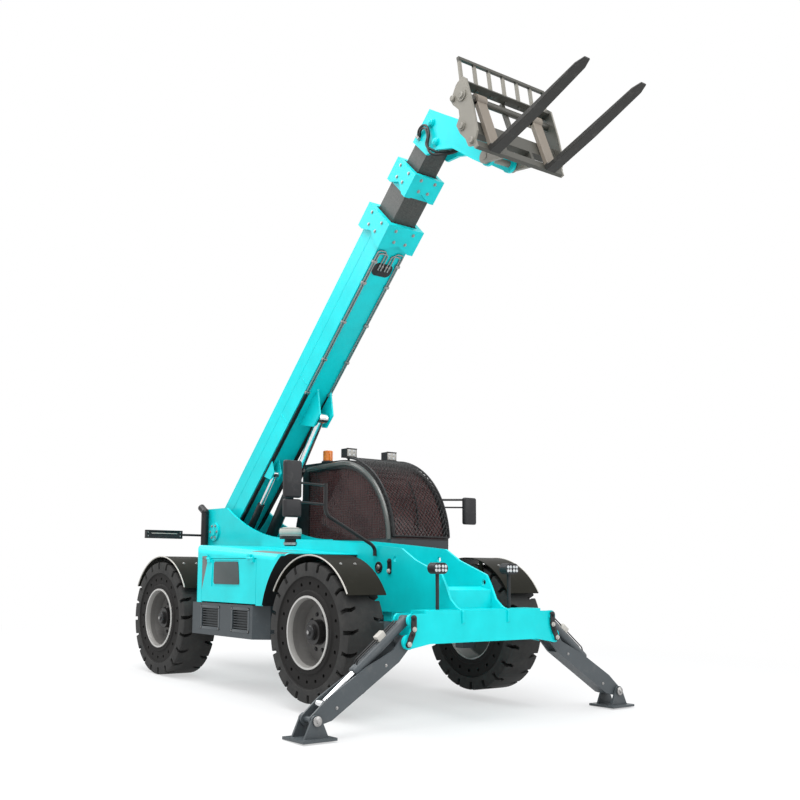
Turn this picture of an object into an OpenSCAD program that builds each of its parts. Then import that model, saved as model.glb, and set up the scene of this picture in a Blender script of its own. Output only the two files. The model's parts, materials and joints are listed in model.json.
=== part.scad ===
// Telehandler: four steered wheels, a three-stage boom on a rear tower, a cab beside it and two stabilizers.
// Modelled in the machine's own frame (X forward, Y to its left, Z up from the wheels' plane),
// then stood on its rear wheels and stabilizer feet by stand().

/* [Wheels] */
// Distance between the axles
wheelbase = 3030; // [2600:1:3600]
// Outer diameter of a tyre over its lugs
wheel_d = 1260; // [1160:1:1300]
// Width of a tyre
tyre_w = 400; // [340:1:420]
// Width of the machine over its tyres
overall_w = 2380; // [2300:1:2500]
// How far the nose is lifted by the stabilizers, in degrees
nose_lift = 1.84; // [0.6:0.01:2.4]

/* [Boom] */
// Angle of the boom above the machine's plane, in degrees
boom_angle = 45; // [38:0.5:55]
// Height of the boom's pivot
pivot_z = 1640; // [1600:1:1680]
// How far the boom's pivot lies behind the middle of the wheelbase
pivot_back = 1880; // [1840:1:1920]
// Width of the outer boom
boom_w = 362; // [340:1:380]
// Height of the outer boom
boom_h = 370; // [350:1:390]
// Length of the outer boom in front of its pivot
boom_len = 4511; // [4300:1:4700]
// How far each of the two inner sections stands out of its collar
boom_out = 300; // [296:1:600]

/* [Carriage] */
// Length of a fork blade
fork_len = 1110; // [900:1:1250]
// Width of a fork blade
fork_w = 120; // [100:1:140]
// Distance between the middles of the forks
fork_gap = 712; // [500:1:800]
// Tilt of the forks above the machine's plane, in degrees
fork_tilt = 20.7; // [0:0.1:35]
// Width of the carriage
carriage_w = 1110; // [1040:1:1200]

/* [Cab] */
// Width of the cab
cab_w = 800; // [760:1:840]
// Radius of the round cab front
cab_nose_r = 925; // [880:1:960]
// Height of the middle of the round cab front
cab_nose_z = 1500; // [1480:1:1520]

/* [Stabilizers] */
// Length of a leg between its two pins
leg_len = 1081; // [1040:1:1120]
// Width of a foot across the machine
foot_w = 320; // [260:1:340]
// Length of a foot along the machine
foot_l = 300; // [240:1:320]

/* [Hidden] */
$fn = 48;
// colours
teal = [0.10, 0.62, 0.66];
slate = [0.20, 0.24, 0.28];
black = [0.05, 0.05, 0.06];
silver = [0.70, 0.71, 0.72];
grey = [0.45, 0.46, 0.46];
steel = [0.80, 0.81, 0.83];
amber = [0.95, 0.45, 0.05];
glass = [0.15, 0.18, 0.20];
// smallest overlap that fuses two shapes
fuse = 1;
// gap between a moving piece and what holds it
run = 0.4;
// gap between two fixed pieces that rest on each other
seat_gap = 0.2;
// wheels and axles
wheel_r = wheel_d / 2;
axle_x = wheelbase / 2;
track_y = (overall_w - tyre_w) / 2;
tyre_in = track_y - tyre_w / 2;
rim_r = 330;
king_y = tyre_in + 20;
king_h = 150;
king_pin_r = 28;
axle_r = 78;
spindle_r = 60;
hub_r = 110;
// lugs along each edge of a tyre, and the slots between them
lugs = 16;
slot_w = 34;
slot_in = 105;
slot_deep = 58;
fender_r = wheel_r + 60;
fender_t = 8;
fender_turn = 60;
swing = (wheel_r * cos(35) + (tyre_w - 20) * sin(35)) + 12;
// chassis plates
plate_y = 265;
plate_t = 25;
low_z = 540;
axle_clear_z = wheel_r + 170;
tower_z = 1925;
front_x = 2390;
// boom frame
boom_p = [-pivot_back, 0, pivot_z];
wall = 10;
mid_w = 296;
mid_h = 306;
in_w = 236;
in_h = 236;
collar_l = 278;
mid_end = boom_len + 254 + boom_out;
in_end = mid_end + boom_out;
mid_start = 500;
in_start = 1100;
lift_y = 60;
comp_y = -110;
lift_eye = [2136, -365];
comp_eye = [1218, -301];
lift_base = [-1500, 1120];
comp_base = [-1600, 1360];
// carriage pivot in boom coordinates (along, across)
hook_s = in_end + 293;
hook_p = -979;
// stabilizers
beam_x = 2590;
leg_x = 2490;
ear_t = 25;
leg_half = 69;
leg_in = 52;
leg_pin = [887, 598];
cyl_pin = [845, 778];
foot_h = 153;
// height of the ground below a point of the machine, in the machine's frame
function ground(x) = wheel_r - (wheel_r + (x + axle_x) * sin(nose_lift)) / cos(nose_lift);
foot_pin_z = ground(leg_x - foot_l / 2) + foot_h;
leg_drop = asin((leg_pin[1] - foot_pin_z) / leg_len);
leg_eye = [leg_len - 151, 30];
// a point given along and across the boom, in the machine's side view
function on_boom(s, p) = [-pivot_back + s * cos(boom_angle) - p * sin(boom_angle),
    pivot_z + s * sin(boom_angle) + p * cos(boom_angle)];
hook = on_boom(hook_s, hook_p);
// a point given along and across the forks, from the carriage's pivot
function on_fork(a, b) = [hook[0] + a * cos(fork_tilt) - b * sin(fork_tilt),
    hook[1] + a * sin(fork_tilt) + b * cos(fork_tilt)];
// a point given along and across a leg, in the machine's front view
function on_leg(s, t) = [leg_pin[0] + s * cos(leg_drop) + t * sin(leg_drop),
    leg_pin[1] - s * sin(leg_drop) + t * cos(leg_drop)];
// forks and carriage, from the carriage's pivot in the forks' own directions
heel_a = 280;
heel_b = -210;
fork_t = 45;
// where a point of the machine comes to lie once it stands
function stood(x, z) = [-axle_x + (x + axle_x) * cos(nose_lift) - (z - wheel_r) * sin(nose_lift),
    wheel_r + (x + axle_x) * sin(nose_lift) + (z - wheel_r) * cos(nose_lift)];
fork_tip = on_fork(heel_a + fork_len, heel_b + fork_t - 14);
tail_x = -2420;
tail_z = [700, 1180];
ends_x = [stood(fork_tip[0], fork_tip[1])[0], stood(tail_x, tail_z[1])[0]];
shift_x = -(ends_x[0] + ends_x[1]) / 2;

// stands the machine on its rear wheels and feet, centred over the origin
module stand() {
    translate([shift_x - axle_x, 0, wheel_r]) rotate([0, -nose_lift, 0]) translate([axle_x, 0, -wheel_r]) children();
}

// a side view (x, z) made solid between two y
module side(y0, y1) {
    translate([0, y1, 0]) rotate([90, 0, 0]) linear_extrude(y1 - y0) children();
}

// a front view (y, z) made solid between two x
module across(x0, x1) {
    translate([x0, 0, 0]) rotate([90, 0, 90]) linear_extrude(x1 - x0) children();
}

// a box between two corners
module block(a, b) {
    translate(a) cube(b - a);
}

// a round bar between two points
module bar(a, b, r) {
    d = b - a;
    translate(a) rotate([0, acos(d[2] / norm(d)), atan2(d[1], d[0])]) cylinder(h = norm(d), r = r);
}

// a bent round bar through a list of points
module bent_bar(points, r) {
    for (i = [0 : len(points) - 2]) bar(points[i], points[i + 1], r);
    for (i = [1 : len(points) - 2]) translate(points[i]) sphere(r = r + 3);
}

// a round bar across the machine at a point of its side view
module pin(at, y0, y1, r) {
    translate([at[0], y1, at[1]]) rotate([90, 0, 0]) cylinder(h = y1 - y0, r = r);
}

// a round bar along the machine at a point of its front view
module pin_long(at, x0, x1, r) {
    translate([x0, at[0], at[1]]) rotate([0, 90, 0]) cylinder(h = x1 - x0, r = r);
}

// a shape turned about the wheel's axis, given as (radius, y)
module spun() {
    rotate([-90, 0, 0]) rotate_extrude($fn = 96) children();
}

// moves a boom shape, drawn along X from the boom's pivot, into its place
module raised() {
    translate(boom_p) rotate([0, -boom_angle, 0]) children();
}

// puts a shape drawn at the right-hand side on either side
module on_side(left) {
    if (left) mirror([0, 1, 0]) children();
    else children();
}

// a long rounded lug between two points of a view
module lug(a, b, r) {
    d = b - a;
    translate(a) circle(r = r);
    translate(b) circle(r = r);
    translate(a) rotate(atan2(d[1], d[0])) translate([0, -r + 2]) square([norm(d), 2 * r - 4]);
}

module chassis_frame() {
    color(teal) stand() {
        for (y = [-plate_y - plate_t, plate_y]) side(y, y + plate_t) plate_view();
        // floor and end walls between the plates
        block([-2150, -plate_y - fuse, axle_clear_z], [-820, plate_y + fuse, axle_clear_z + 25]);
        block([-845, -plate_y - fuse, low_z], [855, plate_y + fuse, low_z + 25]);
        block([-845, -plate_y - fuse, low_z], [-820, plate_y + fuse, axle_clear_z + 25]);
        block([830, -plate_y - fuse, low_z], [855, plate_y + fuse, axle_clear_z + 25]);
        block([830, -plate_y - fuse, axle_clear_z], [front_x, plate_y + fuse, axle_clear_z + 25]);
        block([-2150, -plate_y - fuse, axle_clear_z], [-2125, plate_y + fuse, 1380]);
        // front box
        side(-plate_y - fuse, plate_y + fuse) polygon([[2180, 1000], [2240, 1050], [front_x, 1020], [front_x, 575],
            [2330, 575], [2330, 900]]);
        // stabilizer beam and the ears that hold the legs
        block([front_x - fuse, -700, 575], [beam_x, 700, 855]);
        for (left = [false, true]) on_side(left) ears();
        // bosses and pin of the boom's pivot
        for (y = [-plate_y - plate_t - 20, plate_y]) pin([-pivot_back, pivot_z], y, y + plate_t + 20, 110);
        pin([-pivot_back, pivot_z], -plate_y - plate_t - 30, plate_y + plate_t + 30, 50);
        // lugs and pins of the lift and compensation cylinders
        for (s = [-1, 1]) {
            y = lift_y + s * 84 - 10;
            side(y, y + 20) lug(lift_base, [lift_base[0] - 60, axle_clear_z + 80], 75);
            yc = comp_y + s * 56 - 7;
            side(yc, yc + 14) lug(comp_base, [comp_base[0] - 40, axle_clear_z + 55], 48);
        }
        pin(lift_base, lift_y - 104, lift_y + 104, 40);
        pin(comp_base, comp_y - 70, comp_y + 70, 25);
        // hangers that carry the axles
        for (x = [-axle_x, axle_x], y = [-262, 202]) block([x - 60, y, wheel_r + axle_r + seat_gap], [x + 60, y + 60, axle_clear_z + 5]);
        // brackets that carry the hood, the skirt, the cab and the left tank
        for (x = [-600, 420]) {
            block([x, -382 + seat_gap, 700], [x + 80, -plate_y - plate_t + fuse, 800]);
            block([x, plate_y + plate_t - fuse, 740], [x + 80, cab_y0 - seat_gap, 840]);
        }
    }
}

// side view of a chassis plate: tower, long sweep and front end
module plate_view() {
    // tower, hollowed by the long sweep behind the cab
    difference() {
        polygon([[-2150, axle_clear_z], [-2150, 1870], [-2095, tower_z], [-183, tower_z], [-183, axle_clear_z]]);
        translate([-183, 4292]) circle(r = 2760, $fn = 128);
    }
    // middle and front end
    difference() {
        polygon([[-300, 1526], [600, 1495], [1300, 1440], [1754, 1400], [1955, 1290], [2320, 1160], [2380, 1060],
            [2440, 940], [2520, 875], [beam_x + 14, 845], [beam_x + 14, 745], [beam_x - 30, 700], [front_x, 700],
            [front_x, 575], [2300, 575], [2200, axle_clear_z], [830, axle_clear_z], [830, low_z], [-820, low_z],
            [-820, axle_clear_z + 40]]);
        // lifting eyes
        for (at = [[1660, 1300], [2290, 1090]]) translate(at) circle(r = 26);
    }
}

// cheek plates and pins at the right end of the stabilizer beam
module ears() {
    for (x = [front_x, beam_x - ear_t]) across(x, x + ear_t) ear_view();
    pin_long([-leg_pin[0], leg_pin[1]], front_x - 12, beam_x + 12, 30);
    pin_long([-cyl_pin[0], cyl_pin[1]], front_x - 12, beam_x + 12, 24);
}

module ear_view() {
    lug([-leg_pin[0], leg_pin[1]], [-640, leg_pin[1] + 40], 62);
    lug([-cyl_pin[0], cyl_pin[1]], [-640, cyl_pin[1]], 55);
    polygon([[-640, 600], [-leg_pin[0], leg_pin[1]], [-cyl_pin[0], cyl_pin[1]], [-640, 800]]);
}

module front_axle() {
    color(slate) stand() axle(axle_x);
}

module rear_axle() {
    color(slate) stand() axle(-axle_x);
}

// an axle with its gear case and the yokes of both knuckles
module axle(x) {
    translate([x, 0, wheel_r]) {
        translate([0, -king_y + 130, 0]) rotate([-90, 0, 0]) cylinder(h = 2 * king_y - 260, r = axle_r);
        rotate([-90, 0, 0]) translate([0, 0, -150]) cylinder(h = 300, r = 150);
        for (left = [false, true]) on_side(left) {
            block([-55, -king_y + 110, -king_h - 60], [55, -king_y + 150, king_h + 60]);
            for (z = [-king_h - 60, king_h + 8]) difference() {
                union() {
                    translate([0, -king_y, z]) cylinder(h = 52, r = 58);
                    block([-55, -king_y, z], [55, -king_y + 112, z + 52]);
                }
                translate([0, -king_y, z - 1]) cylinder(h = 54, r = king_pin_r + run);
            }
        }
        // steering cylinder behind the axle
        translate([-110 * sign(x), 0, 95]) rotate([90, 0, 0]) translate([0, 0, -300]) cylinder(h = 600, r = 38);
        for (y = [-200, 160]) block([min(-110 * sign(x), 0) - 20, y, 60], [max(-110 * sign(x), 0) + 20, y + 40, 95]);
    }
}

module engine_block() {
    color(slate) stand() block([-560, -900, 837 + seat_gap], [420, -382, 1330]);
}

// where the vents of the side cover start and end along the machine
skirt_vents = [[-550, -200], [100, 400]];

// the side cover below the hood
module side_skirt() {
    color(slate) stand() difference() {
        block([750 - axle_x, -1150, 504], [axle_x - 910, -382, 837]);
        for (v = skirt_vents) block([v[0], -1160, 590], [v[1], -1120, 780]);
        // corner cut back towards the front wheel
        translate([0, 0, 500]) linear_extrude(400)
            polygon([[axle_x - 1035, -1160], [axle_x - 900, -1160], [axle_x - 900, -1000]]);
    }
    color(slate) stand() for (v = skirt_vents, i = [0 : 6]) block([v[0] - 1, -1146, 600 + i * 26], [v[1] + 1, -1136, 612 + i * 26]);
}

module left_tank() {
    color(slate) stand() {
        block([760 - axle_x, 382, 504], [axle_x - 825, 1000, 720 - seat_gap]);
        // step below the door
        block([-300, 990, 520], [300, 1120, 560]);
    }
}

module counterweight() {
    color(slate) stand() difference() {
        union() {
            block([tail_x, -380, tail_z[0]], [-2150 - seat_gap, 380, tail_z[1]]);
            // tow hitch cheeks
            for (z = [600, 690]) block([tail_x + 20, -70, z], [tail_x + 200, 70, z + 20]);
            block([tail_x + 150, -70, 600], [tail_x + 200, 70, 700 + fuse]);
        }
        translate([tail_x + 70, 0, 590]) cylinder(h = 140, r = 20);
    }
}

// the hood's rear and front ends, its sides, its rear height and its wall
hood_x = [-766, 1060];
hood_y = [-1160, -plate_y - plate_t - seat_gap];
hood_z = 1448;
hood_slope = 3.1;
hood_t = 18;
arch_r = 840;

// a rectangle of a view between two corners, with an arc at the second one that meets its edges at a slight angle
module soft_corner(a, b, r) {
    c = [b[0] + sign(a[0] - b[0]) * r * 0.985, b[1] + sign(a[1] - b[1]) * r * 0.985];
    intersection() {
        between(a, b);
        union() {
            between(a, [b[0], c[1]]);
            between(a, [c[0], b[1]]);
            translate(c) circle(r = r);
        }
    }
}

// a rectangle of a view between two opposite corners
module between(a, b) {
    translate([min(a[0], b[0]), min(a[1], b[1])]) square([abs(b[0] - a[0]), abs(b[1] - a[1])]);
}

// the hood's body, drawn in from its outside by d: soft along its sloped top and at its rear outer corner
module hood_body(d, bottom) {
    intersection() {
        side(hood_y[0] + d, hood_y[1] - d) difference() {
            between([hood_x[0] + d, bottom], [hood_x[1] - d, hood_z + 200]);
            translate([axle_x, wheel_r]) circle(r = arch_r + d, $fn = 192);
        }
        translate([hood_x[0], 0, hood_z]) rotate([0, hood_slope, 0]) across(-200, 2200)
            soft_corner([hood_y[1] - d, -900], [hood_y[0] + d, -d], 100 - d);
        translate([0, 0, 700]) linear_extrude(900) soft_corner([hood_x[1] - d, hood_y[1] - d], [hood_x[0] + d, hood_y[0] + d], 150 - d);
    }
}

module hood_top() {
    color(teal) stand() {
        hood_shell();
        hood_hinges(0, 1);
    }
}

module hood_shell() {
    difference() {
        hood_body(0, 837 + seat_gap);
        hood_body(hood_t, 800);
        block([-560, -1200, 800], [560, -1130, 1300]);
    }
    // lip round the wheel arch
    intersection() {
        side(hood_y[0] - 14, hood_y[0] + 30) difference() {
            translate([axle_x, wheel_r]) circle(r = arch_r + 48, $fn = 192);
            translate([axle_x, wheel_r]) circle(r = arch_r + 2, $fn = 192);
        }
        block([600, -1200, 845], [1030, -1100, 1340]);
    }
}

// hinge axis of the side cover, as y and z
hood_hinge = [-1173, 1299];
hinge_r = 12;
hinge_len = 60;

// the halves of the side cover's hinges: each starts a place along X and reaches down or up
module hood_hinges(shift, up) {
    for (x = [-480, 400]) {
        x0 = x + shift * (hinge_len + run);
        pin_long(hood_hinge, x0, x0 + hinge_len, hinge_r);
        block([x0, hood_hinge[0] - hinge_r / 2, min(hood_hinge[1], hood_hinge[1] + up * 40)],
            [x0 + hinge_len, up > 0 ? -1120 : -1159, max(hood_hinge[1], hood_hinge[1] + up * 40)]);
    }
}

module hood_side() {
    color(teal) stand() {
        difference() {
            block([-555, -1160, 850], [555, -1142, 1295]);
            block([-300, -1170, 1040], [190, -1130, 1262]);
            // recess round the grille
            side(-1170, -1152) polygon([[-350, 1010], [-330, 1284], [215, 1284], [245, 1010]]);
        }
        // louvres of the grille
        for (i = [0 : 7]) block([-301, -1156, 1046 + i * 27], [191, -1146, 1058 + i * 27]);
        hood_hinges(1, -1);
    }
}

// the cab's middle of its round front, its walls and its sides
cab_c = [-60, cab_nose_z];
cab_y0 = 300;
cab_y1 = cab_y0 + cab_w;
cab_t = 45;
cab_back = -830;

// side view of the cab, drawn in from its outside by d
module cab_view(d) {
    translate(cab_c) circle(r = cab_nose_r - d, $fn = 192);
    translate([cab_back + d, 1345 + d]) square([cab_c[0] - cab_back - d, cab_nose_z + cab_nose_r - 1345 - 2 * d]);
}

// side view of the whole cab with its lower body
module cab_outline(d) {
    difference() {
        cab_view(d);
        translate([-1200, 0]) square([2300, 1345 + d]);
    }
    translate([-760 + d, 720 + d]) square([1450 - 2 * d, 1360 - 720]);
}

// side view of a side window
module cab_window() {
    intersection() {
        cab_view(95);
        translate([-700, 1530]) square([1700, 1000]);
    }
}

// side view of the door
module door_view(d) {
    intersection() {
        cab_outline(70 + d);
        translate([-660 + d, 860 + d]) square([1230 - 2 * d, 1600]);
    }
}

// side view of the round windscreen's opening
module screen_wedge() {
    translate(cab_c) polygon([[0, 0], [1200, 40], [1200, 1100], [420, 1300]]);
}

module cab_frame() {
    color(black) stand() {
        cab_shell();
        door_hinges(0, -1);
    }
}

module cab_shell() {
    difference() {
        side(cab_y0, cab_y1) cab_outline(0);
        side(cab_y0 + cab_t, cab_y1 - cab_t) cab_outline(cab_t);
        side(cab_y0 - 10, cab_y0 + 100) cab_window();
        side(cab_y1 - 100, cab_y1 + 10) door_view(0);
        side(cab_y0 + 60, cab_y1 - 60) difference() {
            screen_wedge();
            translate(cab_c) circle(r = cab_nose_r - 100, $fn = 192);
        }
        block([cab_back - 10, cab_y0 + 90, 1560], [cab_back + 100, cab_y1 - 90, 2230]);
    }
}

module cab_glass() {
    color(glass) stand() {
        side(cab_y0 + 20, cab_y0 + 26) cab_window();
        side(cab_y0 + 60, cab_y1 - 60) intersection() {
            screen_wedge();
            difference() {
                translate(cab_c) circle(r = cab_nose_r - 20, $fn = 192);
                translate(cab_c) circle(r = cab_nose_r - 26, $fn = 192);
            }
        }
        block([cab_back + 20, cab_y0 + 90, 1560], [cab_back + 26, cab_y1 - 90, 2230]);
    }
}

// guard bars over the windscreen, carried by a rail at each side
module cab_guard() {
    color(black) stand() {
        for (y = [cab_y0 + 4, cab_y1 - 24]) side(y, y + 20) intersection() {
            screen_wedge();
            difference() {
                translate(cab_c) circle(r = cab_nose_r + 40, $fn = 192);
                translate(cab_c) circle(r = cab_nose_r + seat_gap, $fn = 192);
            }
        }
        for (a = [6 : 4 : 66]) pin(cab_c + (cab_nose_r + 24) * [cos(a), sin(a)], cab_y0 + 10, cab_y1 - 10, 6);
    }
}

module seat() {
    color(black) stand() {
        block([-420, 480, 765 + seat_gap], [40, 910, 1180]);
        block([-440, 460, 1180], [80, 930, 1300]);
        side(470, 920) polygon([[-440, 1290], [-330, 1290], [-480, 1950], [-580, 1940]]);
    }
}

module console() {
    color(black) stand() {
        side(400, 990) polygon([[420, 765 + seat_gap], [620, 765 + seat_gap], [620, 1480], [470, 1480]]);
        bar([470, 695, 1400], [322, 695, 1611], 30);
        translate([325, 695, 1607]) rotate([0, -35, 0]) rotate_extrude() translate([175, 0]) circle(r = 15);
        translate([325, 695, 1607]) rotate([0, -35, 0]) translate([-175, -15, -8]) cube([350, 30, 16]);
    }
}

// hinge axis of the door, as x and y
door_hinge = [-668, cab_y1 + 14];

// the halves of the door's hinges: each starts a place up Z and reaches back or forward
module door_hinges(shift, reach) {
    for (z = [1010, 2000]) {
        z0 = z + shift * (hinge_len + run);
        translate([door_hinge[0], door_hinge[1], z0]) cylinder(h = hinge_len, r = hinge_r);
        // leaf over the joint, let into its own side past the gap round the door
        block([min(door_hinge[0], door_hinge[0] + reach * 60), cab_y1 + run, z0],
            [max(door_hinge[0], door_hinge[0] + reach * 60), door_hinge[1] + hinge_r / 2, z0 + hinge_len]);
        block([door_hinge[0] + (reach > 0 ? 30 : -60), cab_y1 - 1, z0],
            [door_hinge[0] + (reach > 0 ? 60 : -30), cab_y1 + run + 1, z0 + hinge_len]);
    }
}

module cab_door() {
    color(black) stand() {
        door_panel();
        door_hinges(1, 1);
    }
}

module door_panel() {
    difference() {
        side(cab_y1 - cab_t, cab_y1) door_view(6);
        side(cab_y1 - 100, cab_y1 + 10) intersection() {
            door_view(70);
            translate([-700, 1400]) square([1700, 1000]);
        }
    }
}

module door_glass() {
    color(glass) stand() side(cab_y1 - 26, cab_y1 - 20) intersection() {
        door_view(70);
        translate([-700, 1400]) square([1700, 1000]);
    }
}

module mirrors() {
    color(black) stand() {
        // right mirrors, a large one above a small one, on a strut from the chassis plate
        bent_bar([[1371, -311.5, 1330], [1371, -311.5, 1420], [1411, -930, 1710], [1411, -930, 2000]], 18);
        for (z = [1800, 1980]) bar([1411, -930, z], [1325, -1180, z + 20], 11);
        mirror_head([1310, -1240, 2031], 190, 350);
        mirror_head([1310, -1240, 1760], 190, 170);
        // left mirror on the cab's front pillar
        translate([0, cab_y1, 1965]) linear_extrude(22) polygon([[685, seat_gap], [709, seat_gap], [709, 45],
            [899, 242], [882, 259], [685, 55]]);
        translate([0, cab_y1, 1881]) linear_extrude(18) polygon([[731, seat_gap], [749, seat_gap], [749, 46],
            [897, 234], [883, 246], [731, 53]]);
        mirror_head([900, cab_y1 + 280, 1850], 180, 300);
    }
}

// a mirror's housing about its middle, seen from the front as w wide and h high
module mirror_head(at, w, h) {
    translate(at) across(-30, 30) intersection() {
        between([-w / 2, -h / 2], [w / 2, h / 2]);
        circle(r = 0.47 * norm([w, h]));
    }
}

module work_lamps() {
    color(black) stand() {
        for (y = [-440, 440]) {
            bar([2440, y, 855 + seat_gap], [2440, y, 1190], 16);
            translate([2400, y, 1215]) rotate([90, 0, 90]) linear_extrude(90) lug([-32, 0], [32, 0], 50);
        }
        for (y = [cab_y0 + 110, cab_y1 - 110]) {
            bar([-60, y, cab_nose_z + cab_nose_r + seat_gap], [-60, y, 2470], 14);
            block([-110, y - 70, 2460], [0, y + 70, 2560]);
        }
        // rear lamp boards
        for (s = [-1, 1]) {
            block([-2148, s * 860 - 240, 1550], [-2108, s * 860 + 240, 1650]);
            bar([-2128, s * 640, 1600], [-2128, s * (plate_y + plate_t + seat_gap), 1600], 14);
        }
    }
}

module beacon() {
    color(amber) stand() {
        translate([-430, cab_y0 + 80, cab_nose_z + cab_nose_r + seat_gap]) cylinder(h = 20, r = 70);
        translate([-430, cab_y0 + 80, cab_nose_z + cab_nose_r + 15]) cylinder(h = 120, r = 58);
    }
}

module air_intake() {
    color(black) stand() {
        translate([460, -700, 1429]) cylinder(h = 80, r = 60);
        translate([460, -700, 1500]) cylinder(h = 110, r = 110);
    }
}

module exhaust() {
    color(black) stand() bent_bar([[-2060, -338.5, 1300], [-2060, -338.5, 1890], [-2160, -338.5, 1950]], 45);
}

// a solid tyre, with its axis along Y and its outer side at negative y: slots part the lugs along both edges
module tyre(x, left) {
    color(black) stand() on_side(left) translate([x, -track_y, wheel_r]) difference() {
        spun() polygon([[rim_r, -tyre_w / 2], [rim_r, tyre_w / 2], [wheel_r, tyre_w / 2], [wheel_r, -tyre_w / 2]]);
        for (i = [0 : lugs - 1], s = [-1, 1]) rotate([0, (i + s / 4) * 360 / lugs, 0]) translate([0, s * tyre_w / 2, wheel_r])
            block([-slot_w / 2, -slot_in, -slot_deep], [slot_w / 2, slot_in, slot_deep]);
    }
}

// a rim with its dished disc and hub
module rim(x, left) {
    color(silver) stand() on_side(left) translate([x, -track_y, wheel_r]) {
        spun() polygon([[rim_r - seat_gap, -tyre_w / 2 - 6], [rim_r - seat_gap, tyre_w / 2 - 14], [rim_r - 14, tyre_w / 2 - 14],
            [rim_r - 14, -10], [hub_r - fuse, -50], [hub_r - fuse, -66], [rim_r - 62, -40], [rim_r - 40, -110],
            [rim_r - 28, -tyre_w / 2 + 22], [rim_r - 18, -tyre_w / 2 - 6]]);
        difference() {
            translate([0, 35, 0]) rotate([90, 0, 0]) cylinder(h = 175, r = hub_r);
            translate([0, 36, 0]) rotate([90, 0, 0]) cylinder(h = 120, r = spindle_r + run);
        }
        translate([0, -139, 0]) rotate([90, 0, 0]) cylinder(h = 22, r = hub_r - 38);
    }
}

// a steering knuckle with its spindle, its kingpins and the fender it carries
module knuckle(x, left) {
    color(black) stand() on_side(left) translate([x, -king_y, wheel_r]) {
        translate([0, 0, -king_h]) cylinder(h = 2 * king_h, r = 62);
        translate([0, 0, -king_h - 60]) cylinder(h = 2 * king_h + 120, r = king_pin_r);
        rotate([90, 0, 0]) cylinder(h = track_y - king_y - 45, r = 80);
        rotate([90, 0, 0]) cylinder(h = track_y - king_y + 70, r = spindle_r);
        // arm of the fender
        block([30, -12, -30], [230, 52, 30]);
        block([190, 32, -30], [230, 52, sqrt(pow(fender_r, 2) - 210 * 210) + 3]);
        // fender
        translate([0, 55, 0]) rotate([90, 0, 0]) rotate([0, 0, 90 - fender_turn]) rotate_extrude(angle = 2 * fender_turn, $fn = 96)
            translate([fender_r, 0]) square([fender_t, 55 + overall_w / 2 - king_y - 10]);
    }
}

module tyre_fr() { tyre(axle_x, false); }
module tyre_fl() { tyre(axle_x, true); }
module tyre_rr() { tyre(-axle_x, false); }
module tyre_rl() { tyre(-axle_x, true); }
module rim_fr() { rim(axle_x, false); }
module rim_fl() { rim(axle_x, true); }
module rim_rr() { rim(-axle_x, false); }
module rim_rl() { rim(-axle_x, true); }
module knuckle_fr() { knuckle(axle_x, false); }
module knuckle_fl() { knuckle(axle_x, true); }
module knuckle_rr() { knuckle(-axle_x, false); }
module knuckle_rl() { knuckle(-axle_x, true); }

// a box tube along the boom between two stations
module tube(s0, s1, w, h, t) {
    difference() {
        block([s0, -w / 2, -h / 2], [s1, w / 2, h / 2]);
        block([s0 - 1, -w / 2 + t, -h / 2 + t], [s1 + 1, w / 2 - t, h / 2 - t]);
    }
}

// a collar round a tube between two stations, with a notch in the rear edge of each face
module collar(s0, s1, half_w, half_h, w, h) {
    notch = 70;
    difference() {
        block([s0, -half_w, -half_h], [s1, half_w, half_h]);
        block([s0 - 1, -w / 2 + 2, -h / 2 + 2], [s1 + 1, w / 2 - 2, h / 2 - 2]);
        translate([0, 0, -half_h - 1]) linear_extrude(2 * half_h + 2)
            polygon([[s0 - 1, -w / 2 + 20], [s0 + notch, 0], [s0 - 1, w / 2 - 20]]);
        side(-half_w - 1, half_w + 1) polygon([[s0 - 1, -h / 2 + 20], [s0 + notch, 0], [s0 - 1, h / 2 - 20]]);
    }
}

// wear pads on the inside of a tube that guide the next section
module pads_in(s0, s1, w, h, t, iw, ih) {
    for (s = [-1, 1]) {
        scale_y = [s * (iw / 2 + run), s * (w / 2 - t + fuse)];
        block([s0, min(scale_y), -ih / 3], [s1, max(scale_y), ih / 3]);
        scale_z = [s * (ih / 2 + run), s * (h / 2 - t + fuse)];
        block([s0, -iw / 3, min(scale_z)], [s1, iw / 3, max(scale_z)]);
    }
}

// wear pads on the outside of a section's tail
module pads_out(s0, s1, w, h, t, iw, ih) {
    for (s = [-1, 1]) {
        scale_y = [s * (iw / 2 - fuse), s * (w / 2 - t - run)];
        block([s0, min(scale_y), -ih / 3], [s1, max(scale_y), ih / 3]);
        scale_z = [s * (ih / 2 - fuse), s * (h / 2 - t - run)];
        block([s0, -iw / 3, min(scale_z)], [s1, iw / 3, max(scale_z)]);
    }
}

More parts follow.
